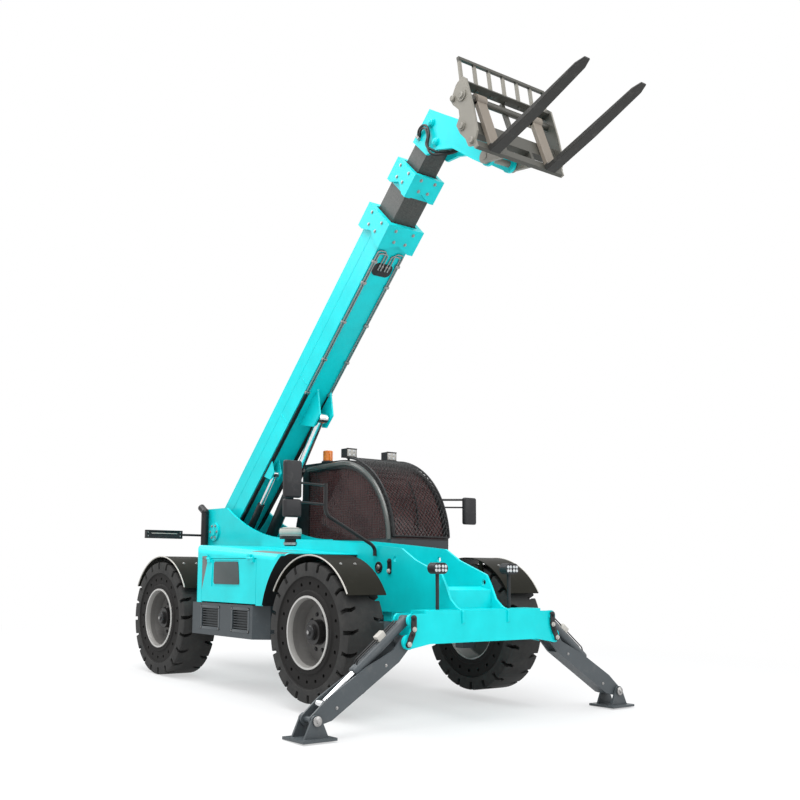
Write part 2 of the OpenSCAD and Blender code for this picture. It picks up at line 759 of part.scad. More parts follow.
module boom_outer() {
    color(teal) stand() raised() {
        tube(150, boom_len, boom_w, boom_h, wall);
        difference() {
            block([-170, -boom_w / 2, -boom_h / 2], [151, boom_w / 2, boom_h / 2]);
            rotate([90, 0, 0]) translate([0, 0, -boom_w]) cylinder(h = 2 * boom_w, r = 50 + run);
        }
        collar(boom_len - collar_l, boom_len, 230, 237, boom_w, boom_h);
        // brackets of the hose pulley above the collar
        for (y = [-150, -110]) block([boom_len - 150, y, 230], [boom_len - 60, y + 12, 330]);
        translate([boom_len - 105, -139, 290]) rotate([-90, 0, 0]) cylinder(h = 42, r = 34);
        pads_in(boom_len - 250, boom_len - 20, boom_w, boom_h, wall, mid_w, mid_h);
        // cheeks for the lift and compensation cylinders
        for (s = [-1, 1]) {
            y = lift_y + s * 87 - 10;
            side(y, y + 20) polygon([[lift_eye[0] - 260, -boom_h / 2 + fuse], [lift_eye[0] + 260, -boom_h / 2 + fuse],
                [lift_eye[0] + 90, lift_eye[1] - 60], [lift_eye[0] - 90, lift_eye[1] - 60]]);
            yc = comp_y + s * 50 - 7;
            side(yc, yc + 14) polygon([[comp_eye[0] - 130, -boom_h / 2 + fuse], [comp_eye[0] + 130, -boom_h / 2 + fuse],
                [comp_eye[0] + 50, comp_eye[1] - 40], [comp_eye[0] - 50, comp_eye[1] - 40]]);
        }
    }
}

module boom_mid() {
    color(grey) stand() raised() {
        tube(mid_start, mid_end, mid_w, mid_h, 9);
        pads_in(mid_end - 220, mid_end - 20, mid_w, mid_h, 9, in_w, in_h);
        pads_out(mid_start, mid_start + 160, boom_w, boom_h, wall, mid_w, mid_h);
    }
    color(teal) stand() raised() {
        collar(mid_end - 254, mid_end, 190, 195, mid_w, mid_h);
        for (y = [-130, -95]) block([mid_end - 140, y, 190], [mid_end - 60, y + 10, 275]);
        translate([mid_end - 100, -121, 240]) rotate([-90, 0, 0]) cylinder(h = 37, r = 28);
    }
}

module boom_inner() {
    color(grey) stand() raised() {
        tube(in_start, in_end + 120, in_w, in_h, 8);
        pads_out(in_start, in_start + 160, mid_w, mid_h, 9, in_w, in_h);
    }
}

// side view of the goose-neck head, along and across the boom
module head_view() {
    polygon([[head_s, in_h / 2], [in_end + 262, in_h / 2], [in_end + 380, -361],
        [in_end + 390, -800], [hook_s + 75, hook_p + 20], [hook_s - 75, hook_p + 20], [in_end + 185, -806],
        [in_end + 130, -459], [in_end + 20, -270], [head_s, -in_h / 2 - 30]]);
    translate([hook_s, hook_p]) circle(r = 78);
}

head_s = in_end - 100;
tilt_base = [in_end + 65, -200];
tilt_eye = [-20, 200];
head_t = 32;

module boom_head() {
    color(teal) stand() raised() {
        difference() {
            for (y = [-in_w / 2 - head_t, in_w / 2]) side(y, y + head_t) head_view();
            translate([hook_s, 0, hook_p]) rotate([90, 0, 0]) translate([0, 0, -300]) cylinder(h = 600, r = 30 + run);
        }
        block([head_s, -in_w / 2 - head_t, in_h / 2 + 0.2], [in_end + 262, in_w / 2 + head_t, in_h / 2 + 16]);
        // bosses of the link pins
        for (y = [-in_w / 2 - head_t - 14, in_w / 2 + head_t - fuse]) {
            pin([in_end + 176, 0], y, y + 15, 42);
            pin(tilt_base, y, y + 15, 40);
        }
        pin(tilt_base, -in_w / 2 - fuse, in_w / 2 + fuse, 28);
        block([in_end + 200, -in_w / 2 - fuse, -110], [in_end + 220, in_w / 2 + fuse, in_h / 2 + 1]);
    }
}

// moves a shape drawn from the carriage's pivot, with the forks level, into its place
module tilted() {
    translate([hook[0], 0, hook[1]]) rotate([0, -fork_tilt, 0]) children();
}

shaft = [250, 370];
shaft_r = 32;
rest_lean = 12;

module carriage() {
    color(grey) stand() tilted() {
        half = carriage_w / 2;
        for (y = [-half, half - 25]) side(y, y + 25) polygon([[316, 540], [219, 520], [109, 431], [120, 371], [165, 280],
            [150, 210], [87, 161], [100, 60], [140, -36], [145, -120], [205, -160], [290, -60], [325, 195], [345, 490]]);
        pin(shaft, -half - 15, half + 15, shaft_r);
        // washers of the shaft and heads of the other pins
        for (y = [-half - 12, half - fuse]) {
            pin(shaft, y, y + 13, 50);
            pin([147, 422], y, y + 13, 26);
            pin([150, 100], y, y + 13, 40);
            pin([205, -106], y, y + 13, 28);
        }
        // angle beam between the tops of the plates
        block([240, -half + fuse, 470], [330, half - fuse, 484]);
        block([240, -half + fuse, 470], [254, half - fuse, 530]);
        // rib in the middle
        block([205, -20, 100], [240, 20, 484]);
        block([170, -half + fuse, -30], [235, half - fuse, 120]);
        block([200, -half + fuse, -190], [239.8, half - fuse, -120]);
        // hinge cheeks and pin
        for (y = [-190, 156]) side(y, y + 34) {
            circle(r = 65);
            polygon([[0, -65], [235, -190], [235, 118], [20, 62]]);
        }
        pin([0, 0], -195, 195, 30);
        // cheeks of the tilt cylinder
        for (y = [-62, 42]) side(y, y + 20) polygon([[235, 0], [235, 118], [30, 250], [-60, 240], [-60, 160], [120, 0]]);
        // backrest, which leans forward
        translate([shaft[0], 0, shaft[1]]) rotate([0, rest_lean, 0]) {
            block([-15, -half, 365], [15, half, 392]);
            for (i = [0 : 6]) {
                y = -half + 15 + i * (2 * half - 30) / 6;
                block([-12, y - 15, 95], [12, y + 15, 390]);
            }
        }
    }
}

module forks() {
    color(black) stand() tilted() for (y = [-fork_gap / 2, fork_gap / 2]) difference() {
        side(y - fork_w / 2, y + fork_w / 2) {
            polygon([[240, heel_b], [heel_a + 480, heel_b], [heel_a + fork_len, heel_b + fork_t - 14],
                [heel_a + fork_len, heel_b + fork_t], [240 + fork_t, heel_b + fork_t], [240 + fork_t, shaft[1]],
                [240, shaft[1]]]);
            translate(shaft) circle(r = 58);
        }
        pin(shaft, -2000, 2000, shaft_r + run);
    }
}

// a cylinder's barrel in a plane: base eye at the origin, lying along X
module barrel(length, r, eye_w, pin_r, rod_r) {
    difference() {
        union() {
            rotate([90, 0, 0]) translate([0, 0, -eye_w / 2]) cylinder(h = eye_w, r = r * 0.9);
            rotate([0, 90, 0]) cylinder(h = length, r = r);
        }
        rotate([90, 0, 0]) translate([0, 0, -r * 2]) cylinder(h = r * 4, r = pin_r + run);
        translate([r * 1.4, 0, 0]) rotate([0, 90, 0]) cylinder(h = length, r = rod_r + run);
    }
}

// a cylinder's rod: its eye at a distance from the barrel's base
module piston(length, from, r, eye_r, eye_w) {
    translate([from, 0, 0]) rotate([0, 90, 0]) cylinder(h = length - from, r = r);
    translate([length, 0, 0]) rotate([90, 0, 0]) translate([0, 0, -eye_w / 2]) cylinder(h = eye_w, r = eye_r);
}

// lays a cylinder from one point of the side view towards another, at a given y
module aimed(a, b, y) {
    translate([a[0], y, a[1]]) rotate([0, -atan2(b[1] - a[1], b[0] - a[0]), 0]) children();
}

lift_top = on_boom(lift_eye[0], lift_eye[1]);
comp_top = on_boom(comp_eye[0], comp_eye[1]);
tilt_foot = on_boom(tilt_base[0], tilt_base[1]);
tilt_top = on_fork(tilt_eye[0], tilt_eye[1]);
lift_len = norm(lift_top - lift_base);
comp_len = norm(comp_top - comp_base);
tilt_len = norm(tilt_top - tilt_foot);

module lift_barrel() { color(black) stand() aimed(lift_base, lift_top, lift_y) barrel(1560, 70, 120, 40, 45); }
module lift_rod() { color(steel) stand() aimed(lift_base, lift_top, lift_y) piston(lift_len, 900, 45, 60, 110); }
module comp_barrel() { color(black) stand() aimed(comp_base, comp_top, comp_y) barrel(780, 42, 80, 25, 25); }
module comp_rod() { color(steel) stand() aimed(comp_base, comp_top, comp_y) piston(comp_len, 560, 25, 35, 70); }
module tilt_barrel() { color(black) stand() aimed(tilt_foot, tilt_top, 0) barrel(500, 42, 80, 28, 25); }
module tilt_rod() { color(steel) stand() aimed(tilt_foot, tilt_top, 0) piston(tilt_len, 300, 25, 38, 70); }

// moves a leg shape, drawn along X from the leg's pivot with its outside up, to the right (-1) or left (1)
module lowered(s) {
    translate([leg_x, s * leg_pin[0], leg_pin[1]]) rotate([0, 0, s * 90]) rotate([0, leg_drop, 0]) children();
}

module leg() {
    difference() {
        union() {
            for (y = [-leg_half, leg_in]) side(y, y + leg_half - leg_in) {
                circle(r = 60);
                polygon([[0, -60], [150, -95], [950, -95], [leg_len, -50], [leg_len, 50], [900, 75], [450, 60],
                    [150, 20], [0, 60]]);
                translate([leg_len, 0]) circle(r = 50);
            }
            block([150, -leg_in - fuse, -95], [950, leg_in + fuse, -80]);
            rotate([90, 0, 0]) translate([0, 0, -leg_in - fuse]) cylinder(h = 2 * leg_in + 2 * fuse, r = 50);
        }
        rotate([90, 0, 0]) translate([0, 0, -200]) cylinder(h = 400, r = 30 + run);
        translate([leg_len, 0, 0]) rotate([90, 0, 0]) translate([0, 0, -200]) cylinder(h = 400, r = 25 + run);
    }
}

module leg_right() { color(slate) stand() lowered(-1) leg(); }
module leg_left() { color(slate) stand() lowered(1) leg(); }

foot_at = on_leg(leg_len, 0);

module foot() {
    translate([leg_x, -foot_at[0], foot_at[1]]) {
        block([-foot_l / 2, -foot_w / 2, -foot_h], [foot_l / 2, foot_w / 2, -foot_h + 22]);
        for (x = [-leg_half - 26, leg_half + 6]) across(x, x + 20) {
            circle(r = 48);
            polygon([[-120, -foot_h + 10], [120, -foot_h + 10], [46, 12], [-46, 12]]);
        }
        pin_long([0, 0], -leg_half - 34, leg_half + 34, 25);
    }
}

module foot_right() { color(slate) stand() foot(); }
module foot_left() { color(slate) stand() on_side(true) foot(); }

// lays a leg's cylinder from its pin on the ear to its eye on the leg
leg_top = on_leg(leg_eye[0], leg_eye[1]);
leg_cyl_len = norm(leg_top - cyl_pin);
leg_cyl_drop = atan2(cyl_pin[1] - leg_top[1], leg_top[0] - cyl_pin[0]);

module leg_aimed(s) {
    translate([leg_x, s * cyl_pin[0], cyl_pin[1]]) rotate([0, 0, s * 90]) rotate([0, leg_cyl_drop, 0]) children();
}

module leg_barrel_right() { color(slate) stand() leg_aimed(-1) barrel(680, 45, 90, 24, 28); }
module leg_barrel_left() { color(slate) stand() leg_aimed(1) barrel(680, 45, 90, 24, 28); }
module leg_rod_right() { color(steel) stand() leg_aimed(-1) piston(leg_cyl_len, 420, 28, 40, 84); }
module leg_rod_left() { color(steel) stand() leg_aimed(1) piston(leg_cyl_len, 420, 28, 40, 84); }

chassis_frame();
front_axle();
rear_axle();
engine_block();
side_skirt();
left_tank();
counterweight();
hood_top();
hood_side();
cab_frame();
cab_glass();
cab_guard();
seat();
console();
cab_door();
door_glass();
mirrors();
work_lamps();
beacon();
air_intake();
exhaust();
tyre_fr();
tyre_fl();
tyre_rr();
tyre_rl();
rim_fr();
rim_fl();
rim_rr();
rim_rl();
knuckle_fr();
knuckle_fl();
knuckle_rr();
knuckle_rl();
boom_outer();
boom_mid();
boom_inner();
boom_head();
carriage();
forks();
lift_barrel();
lift_rod();
comp_barrel();
comp_rod();
tilt_barrel();
tilt_rod();
leg_right();
leg_left();
foot_right();
foot_left();
leg_barrel_right();
leg_barrel_left();
leg_rod_right();
leg_rod_left();
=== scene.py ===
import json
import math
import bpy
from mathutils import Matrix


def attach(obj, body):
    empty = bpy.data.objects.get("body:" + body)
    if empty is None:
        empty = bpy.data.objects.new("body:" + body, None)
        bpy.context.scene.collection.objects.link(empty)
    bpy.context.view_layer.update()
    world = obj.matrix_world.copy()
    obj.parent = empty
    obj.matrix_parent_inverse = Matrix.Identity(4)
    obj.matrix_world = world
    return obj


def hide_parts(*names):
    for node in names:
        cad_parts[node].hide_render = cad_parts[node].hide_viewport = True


bl_info = {
    "name": "Telehandler dress",
    "version": (1, 0, 0),
    "blender": (4, 5, 0),
    "location": "View3D > Sidebar > Telehandler",
    "description": "Finishes and detail pieces for the telehandler's packed frame",
    "category": "Object",
}

import bpy
from mathutils import Matrix, Vector

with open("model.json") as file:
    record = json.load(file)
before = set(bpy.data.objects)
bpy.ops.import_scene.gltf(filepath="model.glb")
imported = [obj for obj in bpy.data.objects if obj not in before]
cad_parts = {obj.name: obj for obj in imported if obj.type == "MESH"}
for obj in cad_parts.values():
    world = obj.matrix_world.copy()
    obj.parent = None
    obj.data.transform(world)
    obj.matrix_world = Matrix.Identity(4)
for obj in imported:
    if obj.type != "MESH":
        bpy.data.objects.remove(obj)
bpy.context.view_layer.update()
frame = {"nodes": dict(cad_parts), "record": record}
IMAGE_SIZE = 800.0

# The machine's own frame, in metres: X forward, Y to its left, Z up from the wheels' plane.
NOSE_LIFT = math.radians(1.84)
SHIFT_X = -0.793709
AXLE_X = 1.515
WHEEL_R = 0.63
TRACK_Y = 0.99
TYRE_W = 0.40
BOOM_PIVOT = Vector((-1.88, 0.0, 1.64))
BOOM_ANGLE = math.radians(45.0)
FORK_TILT = math.radians(20.7)
HOOK = (5.658, -0.979)
INNER_END = 5.365
LEG_PIN = Vector((2.49, 0.887, 0.598))
LEG_CYLINDER_PIN = Vector((2.49, 0.845, 0.778))
LEG_DROP = math.radians(31.77)
LEG_CYLINDER_DROP = math.radians(37.21)
CAB_MIDDLE = Vector((-0.06, 0.0, 1.5))
CAB_NOSE_R = 0.925
CAB_Y = (0.30, 1.10)
HOOD_ARCH = 0.840

# Faces, radii and places that pieces sit on. BOOM_UNDER is in the boom's frame, and FORK_Y and CARRIAGE_Y
# are in the forks' frame.
BOOM_UNDER = -0.185
FENDER_R = 0.698
FENDER_EDGE_R = 0.695
FENDER_OUT = 1.180
PLATE_Y = 0.290
SKIRT_Y = -1.150
SKIRT_VENTS = ((-0.55, -0.20), (0.10, 0.40))
FRONT_LAMPS_Y = (-0.44, 0.44)
ROOF_LAMPS_Y = (0.41, 0.99)
BOARD_Y = 0.86
FORK_Y = 0.356
CARRIAGE_Y = 0.566
GUARD_R = CAB_NOSE_R + 0.026
GUARD_Y = (CAB_Y[0] + 0.014, CAB_Y[1] - 0.014)


def turned_about(axis, angle):
    return Matrix.Rotation(angle, 4, axis)


STAND = (
    Matrix.Translation((SHIFT_X - AXLE_X, 0.0, WHEEL_R))
    @ turned_about("Y", -NOSE_LIFT)
    @ Matrix.Translation((AXLE_X, 0.0, -WHEEL_R))
)
RAISED = Matrix.Translation(BOOM_PIVOT) @ turned_about("Y", -BOOM_ANGLE)
BOOM = STAND @ RAISED
FORK = STAND @ Matrix.Translation(RAISED @ Vector((HOOK[0], 0.0, HOOK[1]))) @ turned_about("Y", -FORK_TILT)


def leg_frame(pin, side, drop):
    """The frame of a leg or its cylinder: X along it, Z out of its upper side"""
    at = Vector((pin.x, side * pin.y, pin.z))
    return STAND @ Matrix.Translation(at) @ turned_about("Z", side * math.pi / 2) @ turned_about("Y", drop)


class Settings(bpy.types.PropertyGroup):
    """Sizes and colours that a user would change"""

    lens: bpy.props.FloatProperty(name="Lens", description="Focal length of the camera in mm", default=45.74)
    paint: bpy.props.FloatVectorProperty(
        name="Body paint",
        description="Colour of the painted bodywork",
        subtype="COLOR",
        default=(0.003, 0.610, 0.635),
    )
    slate: bpy.props.FloatVectorProperty(
        name="Dark paint",
        description="Colour of the dark painted parts",
        subtype="COLOR",
        default=(0.064, 0.074, 0.080),
    )
    floor: bpy.props.FloatVectorProperty(
        name="Floor", description="Colour of the floor", subtype="COLOR", default=(0.70, 0.70, 0.70)
    )
    bolt_size: bpy.props.FloatProperty(
        name="Bolt size", description="Radius of a bolt's head", default=0.013, subtype="DISTANCE"
    )
    hose_size: bpy.props.FloatProperty(
        name="Hose size", description="Radius of a black hose", default=0.012, subtype="DISTANCE"
    )
    pipe_size: bpy.props.FloatProperty(
        name="Pipe size", description="Radius of a steel pipe", default=0.008, subtype="DISTANCE"
    )


class Socket:
    """A shader socket that takes part in Python expressions"""

    def __init__(self, shader, socket):
        self.shader = shader
        self.socket = socket

    def _math(self, operation, first, second):
        return self.shader.node("ShaderNodeMath", {"operation": operation}, {0: first, 1: second})

    def __add__(self, other):
        return self._math("ADD", self, other)

    def __sub__(self, other):
        return self._math("SUBTRACT", self, other)

    def __mul__(self, other):
        return self._math("MULTIPLY", self, other)

    def __gt__(self, other):
        return self._math("GREATER_THAN", self, other)

    def __lt__(self, other):
        return self._math("LESS_THAN", self, other)

    def root(self):
        return self._math("SQRT", self, 0.0)

    def sine(self):
        return self._math("SINE", self, 0.0)

    def within(self, low, high):
        """1 where the value lies between two limits"""
        return (self > low) * (self < high)


class Shader:
    """A material's node tree, with one method that adds any node"""

    def __init__(self, name):
        self.material = bpy.data.materials.new(name)
        self.material.use_nodes = True
        self.tree = self.material.node_tree
        self.surface = self.tree.nodes["Principled BSDF"]
        self.place = self.node("ShaderNodeTexCoord", {}, {}, "Object")

    def node(self, kind, settings, values, output=0):
        made = self.tree.nodes.new(kind)
        for key, value in settings.items():
            if key == "stops":
                self.set_stops(made.color_ramp, value)
            else:
                setattr(made, key, value)
        for key, value in values.items():
            self.feed(made.inputs[key], value)
        return Socket(self, made.outputs[output])

    def set_stops(self, ramp, stops):
        while len(ramp.elements) < len(stops):
            ramp.elements.new(1.0)
        for element, (place, colour) in zip(ramp.elements, stops):
            element.position = place
            element.color = (*colour, 1.0)

    def feed(self, target, value):
        if isinstance(value, Socket):
            self.tree.links.new(value.socket, target)
        else:
            target.default_value = value

    def set(self, **values):
        for key, value in values.items():
            self.feed(self.surface.inputs[key.replace("_", " ")], value)

    def noise(self, scale, detail=4.0, rough=0.55, place=None):
        values = {"Vector": place or self.place, "Scale": scale, "Detail": detail, "Roughness": rough}
        return self.node("ShaderNodeTexNoise", {}, values, "Fac")

    def ramp(self, value, stops):
        return self.node("ShaderNodeValToRGB", {"stops": stops}, {"Fac": value}, "Color")

    def blend(self, factor, first, second):
        values = {0: factor, 6: first, 7: second}
        return self.node("ShaderNodeMix", {"data_type": "RGBA"}, values, 2)

    def bump(self, height, strength, distance):
        values = {"Height": height, "Strength": strength, "Distance": distance}
        return self.node("ShaderNodeBump", {}, values, "Normal")

    def along(self, home, axis):
        """How far a point lies along one axis of a frame, in metres"""
        back = home.inverted()
        row = back.row[axis]
        values = {0: self.place, 1: row.to_3d()}
        return self.node("ShaderNodeVectorMath", {"operation": "DOT_PRODUCT"}, values, 1) + row[3]


PAINT_GRAIN = 220.0


def paint_skin(shader, colour, rough, dust, grain=PAINT_GRAIN, coat=0.10, shine=0.28):
    """Sprayed paint with an orange-peel skin, and dust that lies in patches; returns its colour"""
    patches = shader.noise(2.2, 6.0, 0.6)
    fine = shader.noise(grain, 2.0, 0.5)
    light = tuple(min(1.0, c * 1.10) for c in colour)
    dark = tuple(c * 0.90 for c in colour)
    tone = shader.ramp(patches, [(0.32, dark), (0.52, colour), (0.72, light)])
    dirt = shader.ramp(shader.noise(9.0, 8.0, 0.7), [(0.55, (0, 0, 0)), (0.80, (dust, dust, dust))])
    shader.set(
        Roughness=fine * 0.10 + patches * 0.14 + (rough - 0.12),
        Normal=shader.bump(fine, 0.05, 0.0006),
        Coat_Weight=coat,
        Coat_Roughness=0.14,
        Specular_IOR_Level=shine,
    )
    return shader.blend(dirt, tone, (0.32, 0.30, 0.27, 1.0))


def worn_paint(name, *look):
    """Paint of one colour; the look is what paint_skin takes"""
    shader = Shader(name)
    shader.set(Base_Color=paint_skin(shader, *look))
    return shader.material


def two_tone(name, colour, rough, dust, other, mask):
    """Paint with a second colour where the mask, a function of the shader, is 1"""
    shader = Shader(name)
    skin = paint_skin(shader, colour, rough, dust)
    shader.set(Base_Color=shader.blend(mask(shader), skin, (*other, 1.0)))
    return shader.material


# roughness, dust, grain, coat and shine of the bodywork
BODY_LOOK = (0.34, 0.03, PAINT_GRAIN, 0.12, 0.17)


def body_paint(shader):
    """The glossy colour of the bodywork"""
    return paint_skin(shader, tuple(bpy.context.scene.dress.paint), *BODY_LOOK)


# radii at which a wheel's colours change: inside the lugs, the rim's lip, inside which its wall has painted
# shade, its dish, which has deeper painted shade, and its hub
LUG_RING_R = 0.506
RIM_WALL_SHADE_R = 0.3115
RIM_DISH_SHADE_R = 0.2985
RIM_HUB_R = 0.118


def wheel_radius(shader, axle):
    """The distance from the middle of the wheels on an axle, in side view"""
    middle = STAND @ Vector((axle, 0.0, WHEEL_R))
    spot = shader.node("ShaderNodeSeparateXYZ", {}, {0: shader.place}, 0)
    across = Socket(shader, spot.socket.node.outputs[0]) - middle.x
    up = Socket(shader, spot.socket.node.outputs[2]) - middle.z
    return (across * across + up * up).root()


def tyre_rubber(name, axle):
    """Dusty rubber, darker in the ring inside the lugs"""
    shader = Shader(name)
    patches = shader.noise(5.0, 6.0, 0.65)
    fine = shader.noise(140.0, 3.0, 0.6)
    dust = shader.ramp(shader.noise(16.0, 8.0, 0.75), [(0.50, (0, 0, 0)), (0.85, (0.35, 0.35, 0.35))])
    black = shader.ramp(patches, [(0.3, (0.024, 0.024, 0.024)), (0.7, (0.044, 0.043, 0.041))])
    dusty = shader.blend(dust, black, (0.090, 0.083, 0.075, 1.0))
    ring = (wheel_radius(shader, axle) < LUG_RING_R) * 0.8
    shader.set(
        Base_Color=shader.blend(ring, dusty, (0.009, 0.008, 0.0075, 1.0)),
        Roughness=patches * 0.2 + 0.58,
        Specular_IOR_Level=0.16,
        Normal=shader.bump(fine, 0.18, 0.001),
    )
    return shader.material


def metal(name, dark, light, rough, scale=30.0):
    shader = Shader(name)
    streaks = shader.noise(scale, 3.0, 0.5)
    shader.set(
        Base_Color=shader.ramp(streaks, [(0.2, dark), (0.8, light)]),
        Roughness=streaks * 0.14 + rough,
        Metallic=1.0,
    )
    return shader.material


def window_glass():
    shader = Shader("window_glass")
    film = shader.noise(3.0, 5.0, 0.6)
    shader.set(
        Base_Color=shader.ramp(film, [(0.3, (0.058, 0.023, 0.024)), (0.7, (0.112, 0.055, 0.053))]),
        Roughness=film * 0.06 + 0.05,
        Alpha=film * 0.1 + 0.84,
        Specular_IOR_Level=0.20,
        IOR=1.5,
    )
    return shader.material


def seat_cloth():
    shader = Shader("seat_fabric")
    weave = shader.noise(420.0, 2.0, 0.5)
    tone = shader.noise(6.0, 4.0, 0.6)
    shader.set(
        Base_Color=shader.ramp(tone, [(0.3, (0.020, 0.020, 0.022)), (0.7, (0.055, 0.053, 0.052))]),
        Roughness=weave * 0.2 + 0.7,
        Normal=shader.bump(weave, 0.4, 0.001),
    )
    return shader.material


def lens(name, dark, light):
    shader = Shader(name)
    ribs = shader.noise(60.0, 1.0, 0.4)
    shader.set(
        Base_Color=shader.ramp(ribs, [(0.3, dark), (0.7, light)]),
        Roughness=ribs * 0.1 + 0.12,
        Coat_Weight=0.6,
    )
    return shader.material


def boom_tube(name, collar_from):
    """The grey of an inner boom section with fine lengthwise lines, and body paint on its collar"""
    shader = Shader(name)
    paint = body_paint(shader)
    lines = (shader.along(BOOM, 2) * 420.0).sine() * (shader.along(BOOM, 1) * 420.0).sine()
    scratch = shader.noise(40.0, 6.0, 0.7)
    grey = shader.ramp(scratch, [(0.3, (0.034, 0.037, 0.036)), (0.7, (0.074, 0.076, 0.071))])
    lined = shader.blend((lines > 0.5) * 0.35, grey, (0.150, 0.142, 0.126, 1.0))
    shader.set(Base_Color=shader.blend(shader.along(BOOM, 0) > collar_from, lined, paint))
    return shader.material


def rim_paint(name, axle):
    """Silver on a rim's lip, painted shade down its wall and deeper painted shade in its dish, and black on
    its hub
    """
    shader = Shader(name)
    radius = wheel_radius(shader, axle)
    silver = paint_skin(shader, (0.44, 0.43, 0.41), 0.36, 0.30)
    # painted shade: darker silver down the rim's wall, and darker still in its dish
    wall = shader.blend((radius < RIM_WALL_SHADE_R) * 0.55, silver, (0.115, 0.108, 0.100, 1.0))
    dish_shaded = shader.blend((radius < RIM_DISH_SHADE_R) * 0.72, wall, (0.058, 0.055, 0.052, 1.0))
    shader.set(Base_Color=shader.blend(radius < RIM_HUB_R, dish_shaded, (0.018, 0.017, 0.017, 1.0)))
    return shader.material


BLACK = (0.012, 0.012, 0.013)
CARRIAGE_GREY = (0.215, 0.202, 0.172)
# how far along the boom the collar of a section starts; the inner section has none
MID_COLLAR = 4.807
NO_COLLAR = 50.0
FINISHES = {}


def either(first, second):
    """The larger of two masks"""
    return first.shader.node("ShaderNodeMath", {"operation": "MAXIMUM"}, {0: first, 1: second})


def box_mask(*ranges, home=STAND):
    """A mask that is 1 in any of some boxes of a frame, each given as limits of x, y and z"""

    def mask(shader):
        total = None
        for limits in ranges:
            inside = None
            for axis, limit in enumerate(limits):
                if limit is not None:
                    part = shader.along(home, axis).within(*limit)
                    inside = part if inside is None else inside * part
            total = inside if total is None else either(total, inside)
        return total

    return mask


def hood_paint():
    """The hood's paint: grey blades at its rear edge and along its top, and dark in the wheel arch"""
    shader = Shader("hood")
    x = shader.along(STAND, 0)
    y = shader.along(STAND, 1)
    z = shader.along(STAND, 2)
    rear = x.within(-0.560, -0.42) * (y < -1.0) * z.within(0.96, 1.325) * ((x + 0.560) * 2.6 < (z - 0.96))
    top = x.within(0.38, 1.02) * (y > -1.12) * (z > 1.30) * ((x - 0.38) * 0.22 > (y + 1.12))
    striped = shader.blend(either(rear, top), body_paint(shader), (0.150, 0.155, 0.150, 1.0))
    ahead = x - AXLE_X
    above = z - WHEEL_R
    arch = (ahead * ahead + above * above).root()
    shader.set(Base_Color=shader.blend(arch < HOOD_ARCH + 0.004, striped, (0.012, 0.013, 0.014, 1.0)))
    return shader.material


def fork_shanks(shader):
    return shader.along(FORK, 2) > -0.150


def make_finishes():
    settings = bpy.context.scene.dress
    paint = tuple(settings.paint)
    slate = tuple(settings.slate)
    paints = {
        "teal_paint": (paint, *BODY_LOOK),
        "slate_paint": (slate, 0.42, 0.14),
        "black_steel": (BLACK, 0.40, 0.10),
        "grey_paint": (CARRIAGE_GREY, 0.42, 0.14),
        "rim_silver": ((0.42, 0.42, 0.42), 0.38, 0.22),
        "dark_plastic": ((0.018, 0.018, 0.020), 0.55, 0.10, 320.0),
        "hose_rubber": ((0.011, 0.011, 0.011), 0.50, 0.08, 380.0),
        "trim_silver": ((0.46, 0.44, 0.40), 0.40, 0.10),
        "mesh_black": ((0.014, 0.014, 0.014), 0.45, 0.08, 420.0),
        "pillar_grey": ((0.090, 0.092, 0.086), 0.26, 0.06, PAINT_GRAIN, 0.5),
        "fender": ((0.013, 0.0125, 0.0090), 0.46, 0.03, PAINT_GRAIN, 0.02, 0.06),
        "grille_grey": ((0.052, 0.066, 0.066), 0.50, 0.06, 520.0),
    }
    for name, look in paints.items():
        FINISHES[name] = worn_paint(name, *look)
    metals = {
        "rod_chrome": ((0.62, 0.63, 0.65), (0.88, 0.89, 0.90), 0.10),
        "zinc": ((0.26, 0.26, 0.26), (0.46, 0.45, 0.44), 0.36, 90.0),
        "mirror_glass": ((0.70, 0.72, 0.74), (0.80, 0.82, 0.84), 0.03, 4.0),
    }
    for name, look in metals.items():
        FINISHES[name] = metal(name, *look)
    lenses = {
        "amber_lens": ((0.80, 0.16, 0.004), (0.95, 0.27, 0.012)),
        "red_lens": ((0.42, 0.010, 0.008), (0.62, 0.020, 0.015)),
        "lamp_glass": ((0.50, 0.51, 0.52), (0.72, 0.73, 0.74)),
    }
    for name, look in lenses.items():
        FINISHES[name] = lens(name, *look)
    FINISHES["window_glass"] = window_glass()
    FINISHES["seat_fabric"] = seat_cloth()
    for name, axle in (("front", AXLE_X), ("rear", -AXLE_X)):
        FINISHES[name + "_tyre"] = tyre_rubber(name + "_tyre", axle)
        FINISHES[name + "_rim"] = rim_paint(name + "_rim", axle)
    steel = ((0.026, 0.025, 0.023), 0.50, 0.14)
    FINISHES["fork_steel"] = two_tone("fork_steel", *steel, (0.185, 0.158, 0.128), fork_shanks)
    beams = ((0.16, 0.36), (-0.536, 0.536), (-0.20, 0.53))
    rail = ((0.05, 0.60), (-0.60, 0.60), (0.705, 0.80))
    FINISHES["carriage"] = two_tone(
        "carriage", CARRIAGE_GREY, 0.42, 0.14, (0.066, 0.064, 0.054), box_mask(beams, rail, home=FORK)
    )
    # painted shade: the faces inside the vents' recesses get a darker copy of the cover's colour
    vents = [(ends, (-1.149, -1.0), (0.585, 0.785)) for ends in SKIRT_VENTS]
    cover = ((0.042, 0.052, 0.058), 0.42, 0.10)
    FINISHES["skirt"] = two_tone("skirt", *cover, (0.018, 0.023, 0.026), box_mask(*vents))
    FINISHES["hood"] = hood_paint()
    lower = (None, None, (0.60, 1.515))
    FINISHES["cab"] = two_tone("cab", BLACK, 0.34, 0.08, (0.046, 0.052, 0.058), box_mask(lower))
    FINISHES["mid_tube"] = boom_tube("mid_tube", MID_COLLAR)
    FINISHES["inner_tube"] = boom_tube("inner_tube", NO_COLLAR)
    cap = (None, None, (1.53, 1.70))
    FINISHES["intake"] = two_tone("intake", BLACK, 0.45, 0.10, (0.26, 0.255, 0.24), box_mask(cap))


